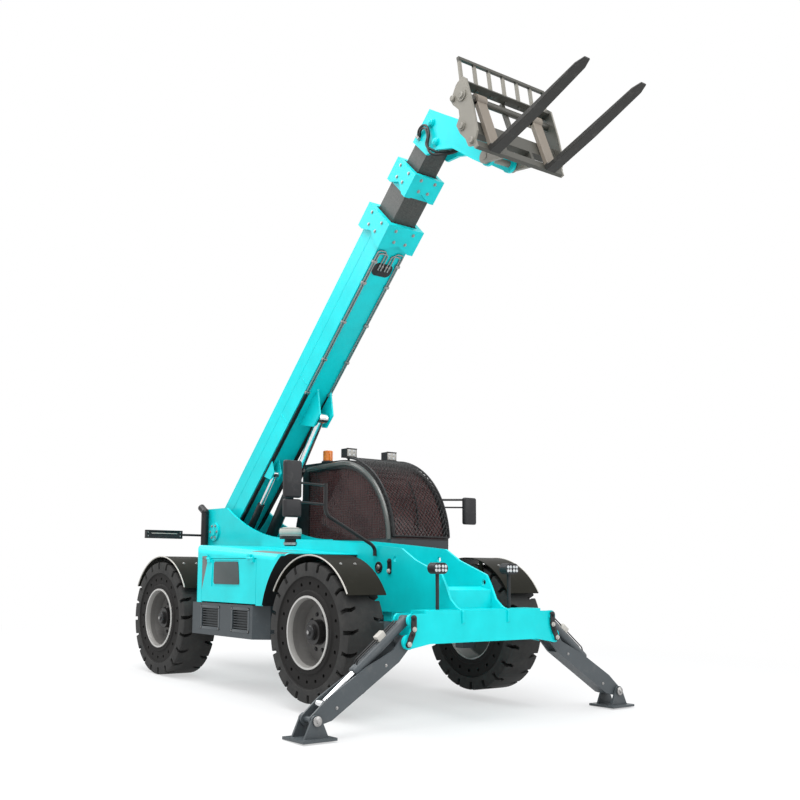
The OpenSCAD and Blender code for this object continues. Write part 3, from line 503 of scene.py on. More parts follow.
NODE_FINISH = {
    "side_skirt": "skirt",
    "hood_side": "hood",
    "hood_top": "hood",
    "cab_frame": "cab",
    "cab_door": "cab",
    "boom_mid": "mid_tube",
    "boom_inner": "inner_tube",
    "air_intake": "intake",
    "carriage": "carriage",
}
WHEELS = {"fr": (AXLE_X, -1), "fl": (AXLE_X, 1), "rr": (-AXLE_X, -1), "rl": (-AXLE_X, 1)}
for wheel in WHEELS:
    axle_end = "front" if wheel.startswith("f") else "rear"
    NODE_FINISH["rim_" + wheel] = axle_end + "_rim"
    NODE_FINISH["tyre_" + wheel] = axle_end + "_tyre"
    NODE_FINISH["knuckle_" + wheel] = "fender"


class DRESS_OT_finishes(bpy.types.Operator):
    """Gives every carried-over solid its finish"""

    bl_idname = "dress.finishes"
    bl_label = "Finishes"

    def execute(self, context):
        make_finishes()
        for subpart in frame["record"]["subparts"]:
            name = subpart["node"]
            piece = frame["nodes"][name]
            piece.data.materials.clear()
            piece.data.materials.append(FINISHES[NODE_FINISH.get(name, subpart["material_slot"])])
        return {"FINISHED"}


def only(piece):
    """Selects one piece and makes it active"""
    bpy.ops.object.select_all(action="DESELECT")
    piece.select_set(True)
    bpy.context.view_layer.objects.active = piece


def bake(piece):
    """Moves a piece's place into its mesh"""
    only(piece)
    bpy.ops.object.transform_apply(location=True, rotation=True, scale=True)
    return piece


def leave():
    bpy.ops.object.mode_set(mode="OBJECT")


def edit_all(piece, kind="FACE"):
    only(piece)
    bpy.ops.object.mode_set(mode="EDIT")
    bpy.ops.mesh.select_mode(type=kind)
    bpy.ops.mesh.select_all(action="SELECT")


def pick_faces(piece, wanted):
    """Enters edit mode with the faces selected whose middle and normal are wanted"""
    edit_all(piece)
    bpy.ops.mesh.select_all(action="DESELECT")
    leave()
    for face in piece.data.polygons:
        face.select = wanted(face.center, face.normal)
    bpy.ops.object.mode_set(mode="EDIT")


def pick_edges(piece, wanted):
    """Enters edit mode with the edges selected whose two ends are wanted"""
    edit_all(piece, "EDGE")
    bpy.ops.mesh.select_all(action="DESELECT")
    leave()
    points = piece.data.vertices
    for edge in piece.data.edges:
        edge.select = wanted(points[edge.vertices[0]].co, points[edge.vertices[1]].co)
    bpy.ops.object.mode_set(mode="EDIT")


def bevel_edges(piece, wanted, offset, segments):
    """Bevels the edges whose two ends are wanted"""
    pick_edges(piece, wanted)
    bpy.ops.mesh.bevel(offset=offset, segments=segments, affect="EDGES")
    leave()


def open_through(ring, inside):
    """Deletes the selected end faces and joins the two edges inside a radius by a wall"""
    bpy.ops.mesh.delete(type="FACE")
    leave()
    pick_edges(ring, lambda a, b: max(a.xy.length, b.xy.length) < inside)
    bpy.ops.mesh.bridge_edge_loops()
    leave()


def outward(piece):
    """Merges doubled points and turns all faces outwards"""
    edit_all(piece)
    bpy.ops.mesh.remove_doubles(threshold=0.00001)
    bpy.ops.mesh.normals_make_consistent(inside=False)
    leave()
    return piece


def joined(pieces):
    bpy.ops.object.select_all(action="DESELECT")
    for piece in pieces:
        piece.select_set(True)
    bpy.context.view_layer.objects.active = pieces[0]
    if len(pieces) > 1:
        bpy.ops.object.join()
    return pieces[0]


def twin_of(shape):
    """A copy of a shape with a mesh of its own"""
    twin = shape.copy()
    twin.data = shape.data.copy()
    bpy.context.collection.objects.link(twin)
    return twin


def copies(shape, places):
    """Copies a shape to each place, joins the copies and removes the shape"""
    made = []
    for place in places:
        twin = twin_of(shape)
        twin.matrix_world = place
        made.append(twin)
    bpy.data.objects.remove(shape)
    return bake(joined(made))


def placed(piece, place):
    piece.matrix_world = place @ piece.matrix_world
    return bake(piece)


def done(piece, name, finish, body, smooth=35.0):
    """Names a finished piece, gives it its finish and lets it ride on a body"""
    bake(piece)
    bpy.ops.object.shade_smooth_by_angle(angle=math.radians(smooth))
    piece.name = name
    piece.data.name = name
    piece.data.materials.clear()
    piece.data.materials.append(FINISHES[finish])
    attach(piece, body)
    return piece


def fixed(pieces, name, finish, body="chassis", home=STAND):
    """Joins pieces that were made in a frame, sets them in it and finishes them"""
    return done(placed(joined(pieces), home), name, finish, body)


def apply_modifier(piece, kind, **settings):
    only(piece)
    modifier = piece.modifiers.new("shape", kind)
    for key, value in settings.items():
        setattr(modifier, key, value)
    bpy.ops.object.modifier_apply(modifier="shape")


def facing(home, at, out):
    """A place in a frame whose Z points out of a surface"""
    return home @ Matrix.Translation(at) @ Vector(out).to_track_quat("Z", "Y").to_matrix().to_4x4()


def set_in(home, points):
    """Points of a frame as points of the scene"""
    return [home @ Vector(p) for p in points]


def block(low, high):
    """A plain block between two corners"""
    low = Vector(low)
    high = Vector(high)
    bpy.ops.object.select_all(action="DESELECT")
    bpy.ops.mesh.primitive_cube_add(size=1.0, location=(low + high) / 2)
    piece = bpy.context.object
    piece.scale = high - low
    return bake(piece)


def slab(low, high, soft, segments=2):
    """A block between two corners with rounded edges"""
    piece = block(low, high)
    edit_all(piece, "EDGE")
    bpy.ops.mesh.bevel(offset=soft, segments=segments, affect="EDGES")
    leave()
    return piece


def plate(low, high, corner, soft):
    """A flat plate on Z with round corners and a softened upper edge"""
    piece = block(low, high)
    top = high[2]
    bevel_edges(piece, lambda a, b: abs(a.z - b.z) > (top - low[2]) / 2, corner, 6)
    bevel_edges(piece, lambda a, b: min(a.z, b.z) > top - 0.0001, soft, 2)
    return piece


def turned(profile, sides=32):
    """A turned shape along Z: a disc's face is extruded and resized along radii and heights"""
    radius, height = profile[0]
    bpy.ops.object.select_all(action="DESELECT")
    at = (0, 0, height)
    bpy.ops.mesh.primitive_circle_add(vertices=sides, radius=radius, fill_type="NGON", location=at)
    piece = bake(bpy.context.object)
    edit_all(piece)
    for next_radius, next_height in profile[1:]:
        bpy.ops.mesh.extrude_region_move(TRANSFORM_OT_translate={"value": (0, 0, next_height - height)})
        scale = next_radius / radius
        bpy.ops.transform.resize(value=(scale, scale, 1.0), center_override=(0, 0, next_height))
        radius = next_radius
        height = next_height
    leave()
    return outward(piece)


def bolt_head(radius):
    """A flanged bolt's head that stands on Z"""
    flange = radius * 1.5
    foot = [(flange, -0.002), (flange, radius * 0.25), (radius, radius * 0.35)]
    head = [(radius, radius * 0.95), (radius * 0.8, radius * 1.1)]
    return turned(foot + head, 12)


def bolts(places, name, body, finish="zinc", radius=None):
    radius = radius or bpy.context.scene.dress.bolt_size
    return done(copies(bolt_head(radius), places), name, finish, body)


def rounded_path(points, bend):
    """Knots of a path whose corners are rounded, each with the handles before and after it"""
    points = [Vector(p) for p in points]
    first = points[0]
    knots = [(first, first, first.lerp(points[1], 0.3))]
    for before, corner, after in zip(points, points[1:], points[2:]):
        for other, sign in ((before, -1), (after, 1)):
            reach = (other - corner).normalized() * min(bend, (other - corner).length * 0.48)
            at = corner + reach
            inner = corner + reach * 0.45
            outer = at + (other - at) * 0.3
            knots.append((at, outer, inner) if sign < 0 else (at, inner, outer))
    last = points[-1]
    knots.append((last, last.lerp(points[-2], 0.3), last))
    return knots


def tube(points, radius, bend=None, sides=2):
    """A round tube along points: with rounded corners, or as one smooth curve where no bend is given"""
    bpy.ops.object.select_all(action="DESELECT")
    bpy.ops.curve.primitive_bezier_curve_add()
    piece = bpy.context.object
    curve = piece.data
    knots = rounded_path(points, bend) if bend else [(Vector(p), None, None) for p in points]
    spline = curve.splines[0]
    spline.bezier_points.add(len(knots) - len(spline.bezier_points))
    for point, (at, before, after) in zip(spline.bezier_points, knots):
        point.co = at
        kind = "FREE" if bend else "AUTO"
        point.handle_left_type = kind
        point.handle_right_type = kind
        if bend:
            point.handle_left = before
            point.handle_right = after
    curve.dimensions = "3D"
    curve.bevel_depth = radius
    curve.bevel_resolution = sides
    curve.resolution_u = 5
    curve.use_fill_caps = True
    only(piece)
    bpy.ops.object.convert(target="MESH")
    return outward(bpy.context.object)


def on_arc(middle, radius, angle, y):
    """A point round a middle in the machine's side view, at an angle in degrees"""
    a = math.radians(angle)
    return Vector((middle.x + radius * math.cos(a), y, middle.z + radius * math.sin(a)))


def arc(middle, radius, start, end, y, steps=24):
    """Points of an arc in the machine's side view, from one angle to another in degrees"""
    return [on_arc(middle, radius, start + (end - start) * i / steps, y) for i in range(steps + 1)]


def wheel_frame(axle, side):
    """A wheel's frame with its Z along the axle, out of the machine"""
    at = STAND @ Vector((axle, side * TRACK_Y, WHEEL_R))
    return facing(Matrix.Translation(at), (0, 0, 0), (0, side, 0))


LUGS = 20


class DRESS_OT_tyres(bpy.types.Operator):
    """Solid tyres with lugs, shoulder notches and holes in their sidewalls"""

    bl_idname = "dress.tyres"
    bl_label = "Tyres"

    def execute(self, context):
        tyre = self.make_ring()
        cutter = self.make_cutter()
        apply_modifier(tyre, "BOOLEAN", operation="DIFFERENCE", solver="EXACT", object=cutter)
        bpy.data.objects.remove(cutter)
        tyre.name = "tyre_shape"
        for key, (axle, side) in WHEELS.items():
            twin = twin_of(tyre)
            placed(twin, wheel_frame(axle, side))
            done(twin, "lugged_tyre_" + key, NODE_FINISH["tyre_" + key], "wheel_" + key, 28.0)
            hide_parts("tyre_" + key)
        bpy.data.objects.remove(tyre)
        return {"FINISHED"}

    def make_ring(self):
        bpy.ops.object.select_all(action="DESELECT")
        bpy.ops.mesh.primitive_cylinder_add(vertices=96, radius=WHEEL_R, depth=TYRE_W)
        ring = bpy.context.object
        half = TYRE_W / 2
        bevel_edges(ring, lambda a, b: abs(a.z) > half - 0.01 and a.z * b.z > 0, 0.016, 2)
        pick_faces(ring, lambda at, normal: abs(normal.z) > 0.99)
        steps = ((0.105, 0.0), (0.012, -0.014), (0.115, -0.002), (0.014, 0.012), (0.010, 0.0), (0.028, 0.0))
        for thickness, depth in steps:
            bpy.ops.mesh.inset(thickness=thickness, depth=depth)
        open_through(ring, 0.34)
        return outward(ring)

    def make_cutter(self):
        shapes = []
        step = 2 * math.pi / LUGS
        for side in (-1, 1):
            for i in range(LUGS):
                shapes.append((self.slot, turned_about("Z", (i + side / 4) * step), side))
                shapes.append((self.hole, turned_about("Z", i * step), side))
        makers = (self.slot, self.hole)
        masters = {(make, side): make(side) for make in makers for side in (-1, 1)}
        made = []
        for make, turn, side in shapes:
            twin = twin_of(masters[make, side])
            twin.matrix_world = turn
            made.append(twin)
        for master in masters.values():
            bpy.data.objects.remove(master)
        return outward(bake(joined(made)))

    def slot(self, side):
        """A slot from the edge that bends a little towards the middle of the tread"""
        edge = side * (TYRE_W / 2 + 0.02)
        bend = side * (TYRE_W / 2 - 0.060)
        piece = block((0.552, -0.019, min(edge, bend)), (0.66, 0.019, max(edge, bend)))
        pick_faces(piece, lambda at, normal: normal.z * side < -0.9)
        bpy.ops.mesh.extrude_region_move(TRANSFORM_OT_translate={"value": (0.0, 0.022, -side * 0.052)})
        bpy.ops.transform.resize(value=(1.0, 0.7, 1.0))
        leave()
        return piece

    def hole(self, side):
        """A round hole in the ring inside the lugs"""
        bpy.ops.object.select_all(action="DESELECT")
        bpy.ops.mesh.primitive_cylinder_add(vertices=12, radius=0.017, depth=0.07)
        piece = bpy.context.object
        piece.location = (0.440, 0.0, side * TYRE_W / 2)
        return bake(piece)


WHEEL_NUTS = 10
NUT_AT = Matrix.Translation((0.162, 0, 0.056))
HUB_CAP = [(0.064, 0.158), (0.064, 0.170), (0.056, 0.178), (0.030, 0.180), (0.026, 0.188), (0.022, 0.190)]


class DRESS_OT_wheel_fittings(bpy.types.Operator):
    """Wheel nuts, hub caps and the fenders' edges and bolts"""

    bl_idname = "dress.wheel_fittings"
    bl_label = "Wheel fittings"

    def execute(self, context):
        for key, (axle, side) in WHEELS.items():
            home = wheel_frame(axle, side)
            ring = [turned_about("Z", i * 2 * math.pi / WHEEL_NUTS) @ NUT_AT for i in range(WHEEL_NUTS)]
            bolts([home @ at for at in ring], "wheel_nuts_" + key, "wheel_" + key, "black_steel", 0.015)
            done(placed(turned(HUB_CAP, 24), home), "hub_cap_" + key, "black_steel", "wheel_" + key)
            spot = turned([(0.017, 0.186), (0.017, 0.194), (0.011, 0.198)], 20)
            done(placed(spot, home), "hub_spot_" + key, "zinc", "wheel_" + key)
            self.fender_edges(key, axle, side)
        return {"FINISHED"}

    def fender_edges(self, key, axle, side):
        middle = Vector((axle, 0, WHEEL_R))
        knuckle = "knuckle_" + key
        edge = set_in(STAND, arc(middle, FENDER_EDGE_R, 31, 149, side * FENDER_OUT))
        done(tube(edge, 0.007), "fender_edge_" + key, "trim_silver", knuckle)
        places = []
        for angle in (62, 100):
            a = math.radians(angle)
            out = Vector((math.cos(a), 0, math.sin(a)))
            for y in (0.90, 1.06):
                places.append(facing(STAND, middle + out * FENDER_R + Vector((0, side * y, 0)), out))
        bolts(places, "fender_bolts_" + key, knuckle, "zinc", 0.010)


class DRESS_OT_boom_fittings(bpy.types.Operator):
    """Pipes, hoses, clamps, bolts and covers of the boom"""

    bl_idname = "dress.boom_fittings"
    bl_label = "Boom fittings"

    def execute(self, context):
        settings = context.scene.dress
        self.pipes(settings.pipe_size)
        self.hoses(settings.hose_size)
        self.opening()
        self.collar_bolts("outer_collar_bolts", "boom", (4.335, 4.455), 0.237, 0.230, 0.120)
        self.collar_bolts("mid_collar_bolts", "mid_section", (4.905, 5.020), 0.195, 0.190, 0.095)
        self.covers()
        self.pivot()
        return {"FINISHED"}

    def pipes(self, radius):
        low = BOOM_UNDER - radius - 0.004
        made = []
        clamps = []
        for side in (-1, 1):
            for i, y in enumerate((0.165, 0.140)):
                top = 4.195 - i * 0.030
                inner = side * (0.062 - i * 0.036)
                path = [(2.36, side * y, low), (top, side * y, low), (top, inner, low), (4.03, inner, low)]
                made.append(tube(set_in(BOOM, path), radius, 0.030))
            for s in (2.34, 2.80, 3.30, 3.80, 4.06):
                corner = (s - 0.016, side * 0.152 - 0.030, low - 0.014)
                clamps.append(slab(corner, (s + 0.016, side * 0.152 + 0.030, -0.180), 0.005))
        done(joined(made), "boom_pipes", "zinc", "boom")
        fixed(clamps, "pipe_clamps", "zinc", "boom", BOOM)

    def hoses(self, radius):
        low = BOOM_UNDER - radius - 0.003
        made = []
        for side in (-1, 1):
            for y in (0.165, 0.138):
                path = [(s, side * y, low) for s in (2.35, 1.20, 0.35)]
                path.append((0.20, side * y, low + 0.03))
                made.append(tube(set_in(BOOM, path), radius, 0.05))
        done(joined(made), "boom_hoses", "hose_rubber", "boom")
        # the hose that slides with the middle section, in the gap between the sections
        run = set_in(BOOM, [(s, -0.128, 0.163) for s in (1.5, 3.2, 4.83)])
        done(tube(run, 0.0085), "sliding_hose", "hose_rubber", "mid_section")

    def opening(self):
        cover = plate((-0.120, -0.075, -0.002), (0.120, 0.075, 0.006), 0.055, 0.002)
        home = facing(BOOM, (3.98, 0, BOOM_UNDER), (0, 0, -1)) @ turned_about("Z", math.pi / 2)
        done(placed(cover, home), "hose_opening", "dark_plastic", "boom")
        ends = [facing(BOOM, (4.035, y, -0.197), (-1, 0, 0)) for y in (-0.062, -0.026, 0.026, 0.062)]
        nut = [(0.011, -0.004), (0.013, 0.0), (0.013, 0.018)]
        stem = [(0.010, 0.024), (0.010, 0.060), (0.006, 0.064)]
        done(copies(turned(nut + stem, 12), ends), "hose_fittings", "zinc", "boom")

    def collar_bolts(self, name, body, stations, half_h, half_w, reach):
        places = []
        for i, s in enumerate(stations):
            for across in (-reach, reach):
                a = across * (0.95 if i else 0.62)
                places.append(facing(BOOM, (s, a, -half_h), (0, 0, -1)))
                places.append(facing(BOOM, (s, a, half_h), (0, 0, 1)))
                places.append(facing(BOOM, (s, -half_w, a), (0, -1, 0)))
                places.append(facing(BOOM, (s, half_w, a), (0, 1, 0)))
        bolts(places, name, body, "zinc", 0.012)

    def covers(self):
        top = slab((2.45, -0.150, 0.180), (3.72, 0.150, 0.206), 0.008)
        done(placed(top, BOOM), "hose_cover", "teal_paint", "boom")
        seams = []
        for side in (-1, 1):
            y = side * 0.181
            seams.append(slab((0.30, y - 0.002, 0.020), (4.235, y + 0.002, 0.026), 0.0009, 1))
            seams.append(slab((0.40, y - 0.004, BOOM_UNDER), (4.235, y + 0.003, -0.176), 0.0014, 1))
            for s in (1.86, 2.42):
                seams.append(slab((s - 0.006, y - 0.004, -0.15), (s + 0.006, y + 0.004, 0.02), 0.0018, 1))
        fixed(seams, "boom_seams", "teal_paint", "boom", BOOM)

    def pivot(self):
        places = []
        for side in (-1, 1):
            for i in range(6):
                a = i * math.pi / 3
                at = BOOM_PIVOT + Vector((0.080 * math.cos(a), side * 0.310, 0.080 * math.sin(a)))
                places.append(facing(STAND, at, (0, side, 0)))
        bolts(places, "pivot_bolts", "chassis", "zinc", 0.011)


class DRESS_OT_head_fittings(bpy.types.Operator):
    """Hoses of the boom's head, and pin caps on it and on the fork carriage"""

    bl_idname = "dress.head_fittings"
    bl_label = "Head fittings"

    def execute(self, context):
        self.hoses(context.scene.dress.hose_size)
        self.caps()
        return {"FINISHED"}

    def hoses(self, radius):
        made = []
        for i in range(2):
            d = i * 0.030
            loop = [
                (INNER_END - 0.03, -0.152, 0.085 - d),
                (INNER_END + 0.05, -0.180, 0.095 - d),
                (INNER_END + 0.125 - d, -0.186, 0.030),
                (INNER_END + 0.095 - d, -0.184, -0.075),
                (INNER_END - 0.015, -0.178, -0.150 + d),
                (INNER_END - 0.045 + d, -0.168, -0.235 + d),
                (INNER_END + 0.010, -0.110, -0.330 + d),
                (INNER_END + 0.090, -0.060, -0.420 + d),
                (INNER_END + 0.160, -0.050, -0.470 + d),
            ]
            made.append(tube(set_in(BOOM, loop), radius))
        done(joined(made), "head_hoses", "hose_rubber", "inner_section")
        ends = [facing(BOOM, (INNER_END - 0.03, -0.150, 0.085 - 0.030 * i), (0.3, -1, 0)) for i in range(2)]
        fitting = turned([(0.017, 0.0), (0.017, 0.012), (0.014, 0.016), (0.014, 0.034)], 12)
        done(copies(fitting, ends), "head_hose_fittings", "zinc", "inner_section")

    def caps(self):
        """Pin caps on the boom's head and on the carriage"""
        places = []
        for side in (-1, 1):
            for s, t in ((INNER_END + 0.176, 0.0), (INNER_END + 0.065, -0.20)):
                places.append(facing(BOOM, (s, side * 0.163, t), (0, side, 0)))
        cap = turned([(0.034, -0.002), (0.034, 0.010), (0.026, 0.018), (0.014, 0.020), (0.012, 0.026)], 24)
        done(copies(cap, places), "head_pin_caps", "teal_paint", "inner_section")
        places = []
        for side in (-1, 1):
            for a, b in ((0.250, 0.370), (0.147, 0.422), (0.150, 0.100), (0.205, -0.106)):
                places.append(facing(FORK, (a, side * CARRIAGE_Y, b), (0, side, 0)))
        cap = turned([(0.028, 0.0), (0.028, 0.008), (0.022, 0.014), (0.013, 0.012), (0.006, 0.013)], 20)
        done(copies(cap, places), "carriage_pin_caps", "grey_paint", "fork_carriage")


class DRESS_OT_forks(bpy.types.Operator):
    """Fork blades with softened edges and narrowed tips, hung on the carriage's shaft"""

    bl_idname = "dress.forks"
    bl_label = "Forks"

    def execute(self, context):
        places = [FORK @ Matrix.Translation((0, y, 0)) for y in (-FORK_Y, FORK_Y)]
        blades = done(copies(self.blade(), places), "fork_blades", "fork_steel", "fork_carriage", 15.0)
        eyes = done(copies(self.eye(), places), "fork_eyes", "fork_steel", "fork_carriage", 30.0)
        for piece in (blades, eyes):
            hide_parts("forks")
        return {"FINISHED"}

    def blade(self):
        """A shank and a blade from one heel block: its faces are drawn out, and narrowed at the tip"""
        heel_top = -0.165
        piece = block((0.240, -0.060, -0.210), (0.285, 0.060, heel_top))
        pick_faces(piece, lambda at, normal: normal.z > 0.9)
        bpy.ops.mesh.extrude_region_move(TRANSFORM_OT_translate={"value": (0, 0, 0.505)})
        leave()
        pick_faces(piece, lambda at, normal: normal.x > 0.9 and at.z < heel_top)
        for reach, narrow, thin in ((0.475, 1.0, 1.0), (0.545, 1.0, 0.42), (0.085, 0.52, 0.78)):
            bpy.ops.mesh.extrude_region_move(TRANSFORM_OT_translate={"value": (reach, 0, 0)})
            bpy.ops.transform.resize(value=(1.0, narrow, thin), center_override=(0, 0, heel_top))
        leave()
        edit_all(piece, "EDGE")
        bpy.ops.mesh.select_all(action="DESELECT")
        bpy.ops.mesh.edges_select_sharp(sharpness=math.radians(25))
        bpy.ops.mesh.bevel(offset=0.004, segments=1, affect="EDGES")
        leave()
        return outward(piece)

    def eye(self):
        """The ring at the top of a shank, round the shaft"""
        bpy.ops.object.select_all(action="DESELECT")
        bpy.ops.mesh.primitive_cylinder_add(vertices=40, radius=0.058, depth=0.120)
        ring = bpy.context.object
        pick_faces(ring, lambda at, normal: abs(normal.z) > 0.99)
        bpy.ops.mesh.inset(thickness=0.0255)
        open_through(ring, 0.040)
        return outward(placed(ring, Matrix.Translation((0.250, 0, 0.370)) @ turned_about("X", math.pi / 2)))


class DRESS_OT_cab_fittings(bpy.types.Operator):
    """Guard mesh, window bars, pillars, handles and wiper of the cab"""

    bl_idname = "dress.cab_fittings"
    bl_label = "Cab fittings"

    def execute(self, context):
        self.guard()
        self.window_bars()
        self.pillars()
        self.handles()
        return {"FINISHED"}

    def diamonds(self, across, along):
        """A flat mesh of diamonds, one unit wide and long"""
        bpy.ops.object.select_all(action="DESELECT")
        bpy.ops.mesh.primitive_grid_add(x_subdivisions=along, y_subdivisions=across, size=1.0)
        piece = bpy.context.object
        edit_all(piece)
        bpy.ops.mesh.poke()
        leave()
        inside = 0.4999

        def straight(a, b):
            flat = abs(a.x - b.x) < 1e-5 or abs(a.y - b.y) < 1e-5
            rim = abs(a.x + b.x) / 2 > inside or abs(a.y + b.y) / 2 > inside
            return flat and not rim

        pick_edges(piece, straight)
        bpy.ops.mesh.dissolve_edges(use_verts=False)
        leave()
        return piece

    def guard(self):
        low, high = 3.0, 84.0
        mesh = self.diamonds(15, 21)
        for point in mesh.data.vertices:
            angle = low + (high - low) * (point.co.x + 0.5)
            y = GUARD_Y[0] + (GUARD_Y[1] - GUARD_Y[0]) * (point.co.y + 0.5)
            point.co = STAND @ on_arc(CAB_MIDDLE, GUARD_R, angle, y)
        apply_modifier(mesh, "WIREFRAME", thickness=0.0105, use_even_offset=False, use_boundary=True)
        done(outward(mesh), "guard_mesh", "mesh_black", "chassis", 20.0)
        rails = []
        for y in GUARD_Y:
            rails.append(tube(set_in(STAND, arc(CAB_MIDDLE, GUARD_R, low, high, y)), 0.012))
        for angle in (low, high):
            ends = [on_arc(CAB_MIDDLE, GUARD_R, angle, y) for y in GUARD_Y]
            rails.append(tube(set_in(STAND, ends), 0.011))
        rails_piece = done(joined(rails), "guard_rails", "black_steel", "chassis")
        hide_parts("cab_guard")
        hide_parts("cab_guard")

    def window_bars(self):
        bpy.ops.object.select_all(action="DESELECT")
        bpy.ops.mesh.primitive_grid_add(x_subdivisions=34, y_subdivisions=30, size=1.0)
        bars = bpy.context.object
        for point in bars.data.vertices:
            x = -0.71 + 1.50 * (point.co.x + 0.5)
            z = 1.525 + 0.82 * (point.co.y + 0.5)
            point.co = Vector((x, CAB_Y[0] + 0.008, z))

        def off_window(at, normal):
            round_front = (at - CAB_MIDDLE).xz.length > 0.842 and at.x > CAB_MIDDLE.x
            return round_front or (at.z - CAB_MIDDLE.z) > 0.845

        pick_faces(bars, off_window)
        bpy.ops.mesh.delete(type="FACE")
        leave()
        apply_modifier(bars, "WIREFRAME", thickness=0.0042, use_even_offset=False, use_boundary=True)
        done(outward(placed(bars, STAND)), "window_bars", "mesh_black", "chassis", 20.0)

    def pillars(self):
        made = []
        for y in (CAB_Y[0] + 0.004, CAB_Y[1] - 0.004):
            path = arc(CAB_MIDDLE, CAB_NOSE_R - 0.040, 1, 88, y) + [(-0.45, y, 2.372), (-0.72, y, 2.360)]
            made.append(tube(set_in(STAND, path), 0.030, None, 3))
        done(joined(made), "cab_pillars", "pillar_grey", "chassis")

    def handles(self):
        y = CAB_Y[1] + 0.045
        rail = [(0.50, CAB_Y[1], 1.28), (0.50, y, 1.28), (0.52, y, 0.96), (0.52, CAB_Y[1], 0.96)]
        done(tube(set_in(STAND, rail), 0.011, 0.03), "door_rail", "black_steel", "door")
        lever = slab((0.36, CAB_Y[1] - 0.004, 1.335), (0.50, CAB_Y[1] + 0.028, 1.372), 0.008)
        done(placed(lever, STAND), "door_lever", "dark_plastic", "door")
        blade = arc(CAB_MIDDLE, CAB_NOSE_R + 0.008, 8, 46, 0.62, 10)
        arm = [STAND @ Vector((p.x, 0.66 + 0.10 * i / 10, p.z)) for i, p in enumerate(blade)]
        done(tube(arm, 0.008), "wiper", "black_steel", "chassis")


class DRESS_OT_mirrors(bpy.types.Operator):
    """Mirrors on bent tubes, with soft housings and their glass"""

    bl_idname = "dress.mirrors"
    bl_label = "Mirrors"

    def execute(self, context):
        strut = [(1.371, -0.3115, z) for z in (1.330, 1.420)] + [(1.411, -0.930, z) for z in (1.710, 2.000)]
        arms = [tube(set_in(STAND, strut), 0.018, 0.06)]
        for z in (1.800, 1.980):
            rod = [(1.411, -0.930, z), (1.325, -1.180, z + 0.020)]
            arms.append(tube(set_in(STAND, rod), 0.011))
        y = CAB_Y[1]
        upper = [(0.697, y, 1.976), (0.697, y + 0.05, 1.976), (0.890, y + 0.250, 1.976)]
        lower = [(0.740, y, 1.890), (0.740, y + 0.05, 1.890), (0.890, y + 0.240, 1.890)]
        arms.append(tube(set_in(STAND, upper), 0.012, 0.03))
        arms.append(tube(set_in(STAND, lower), 0.009, 0.03))
        arms_piece = done(joined(arms), "mirror_arms", "black_steel", "chassis")
        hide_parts("mirrors")
        heads = []
        panes = []
        mirrors = (
            ((1.310, -1.240, 2.031), 0.19, 0.35),
            ((1.310, -1.240, 1.760), 0.19, 0.17),
            ((0.900, y + 0.28, 1.850), 0.18, 0.30),
        )
        for at, width, height in mirrors:
            at = Vector(at)
            half = Vector((0.030, width / 2, height / 2))
            heads.append(slab(at - half, at + half, 0.022, 4))
            face = Vector((-0.030, 0, 0))
            pane = Vector((0.003, width / 2 - 0.016, height / 2 - 0.016))
            panes.append(slab(at + face - pane, at + face + pane, 0.0025))
        heads_piece = fixed(heads, "mirror_heads", "dark_plastic")
        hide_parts("mirrors")
        fixed(panes, "mirror_panes", "mirror_glass")
        return {"FINISHED"}


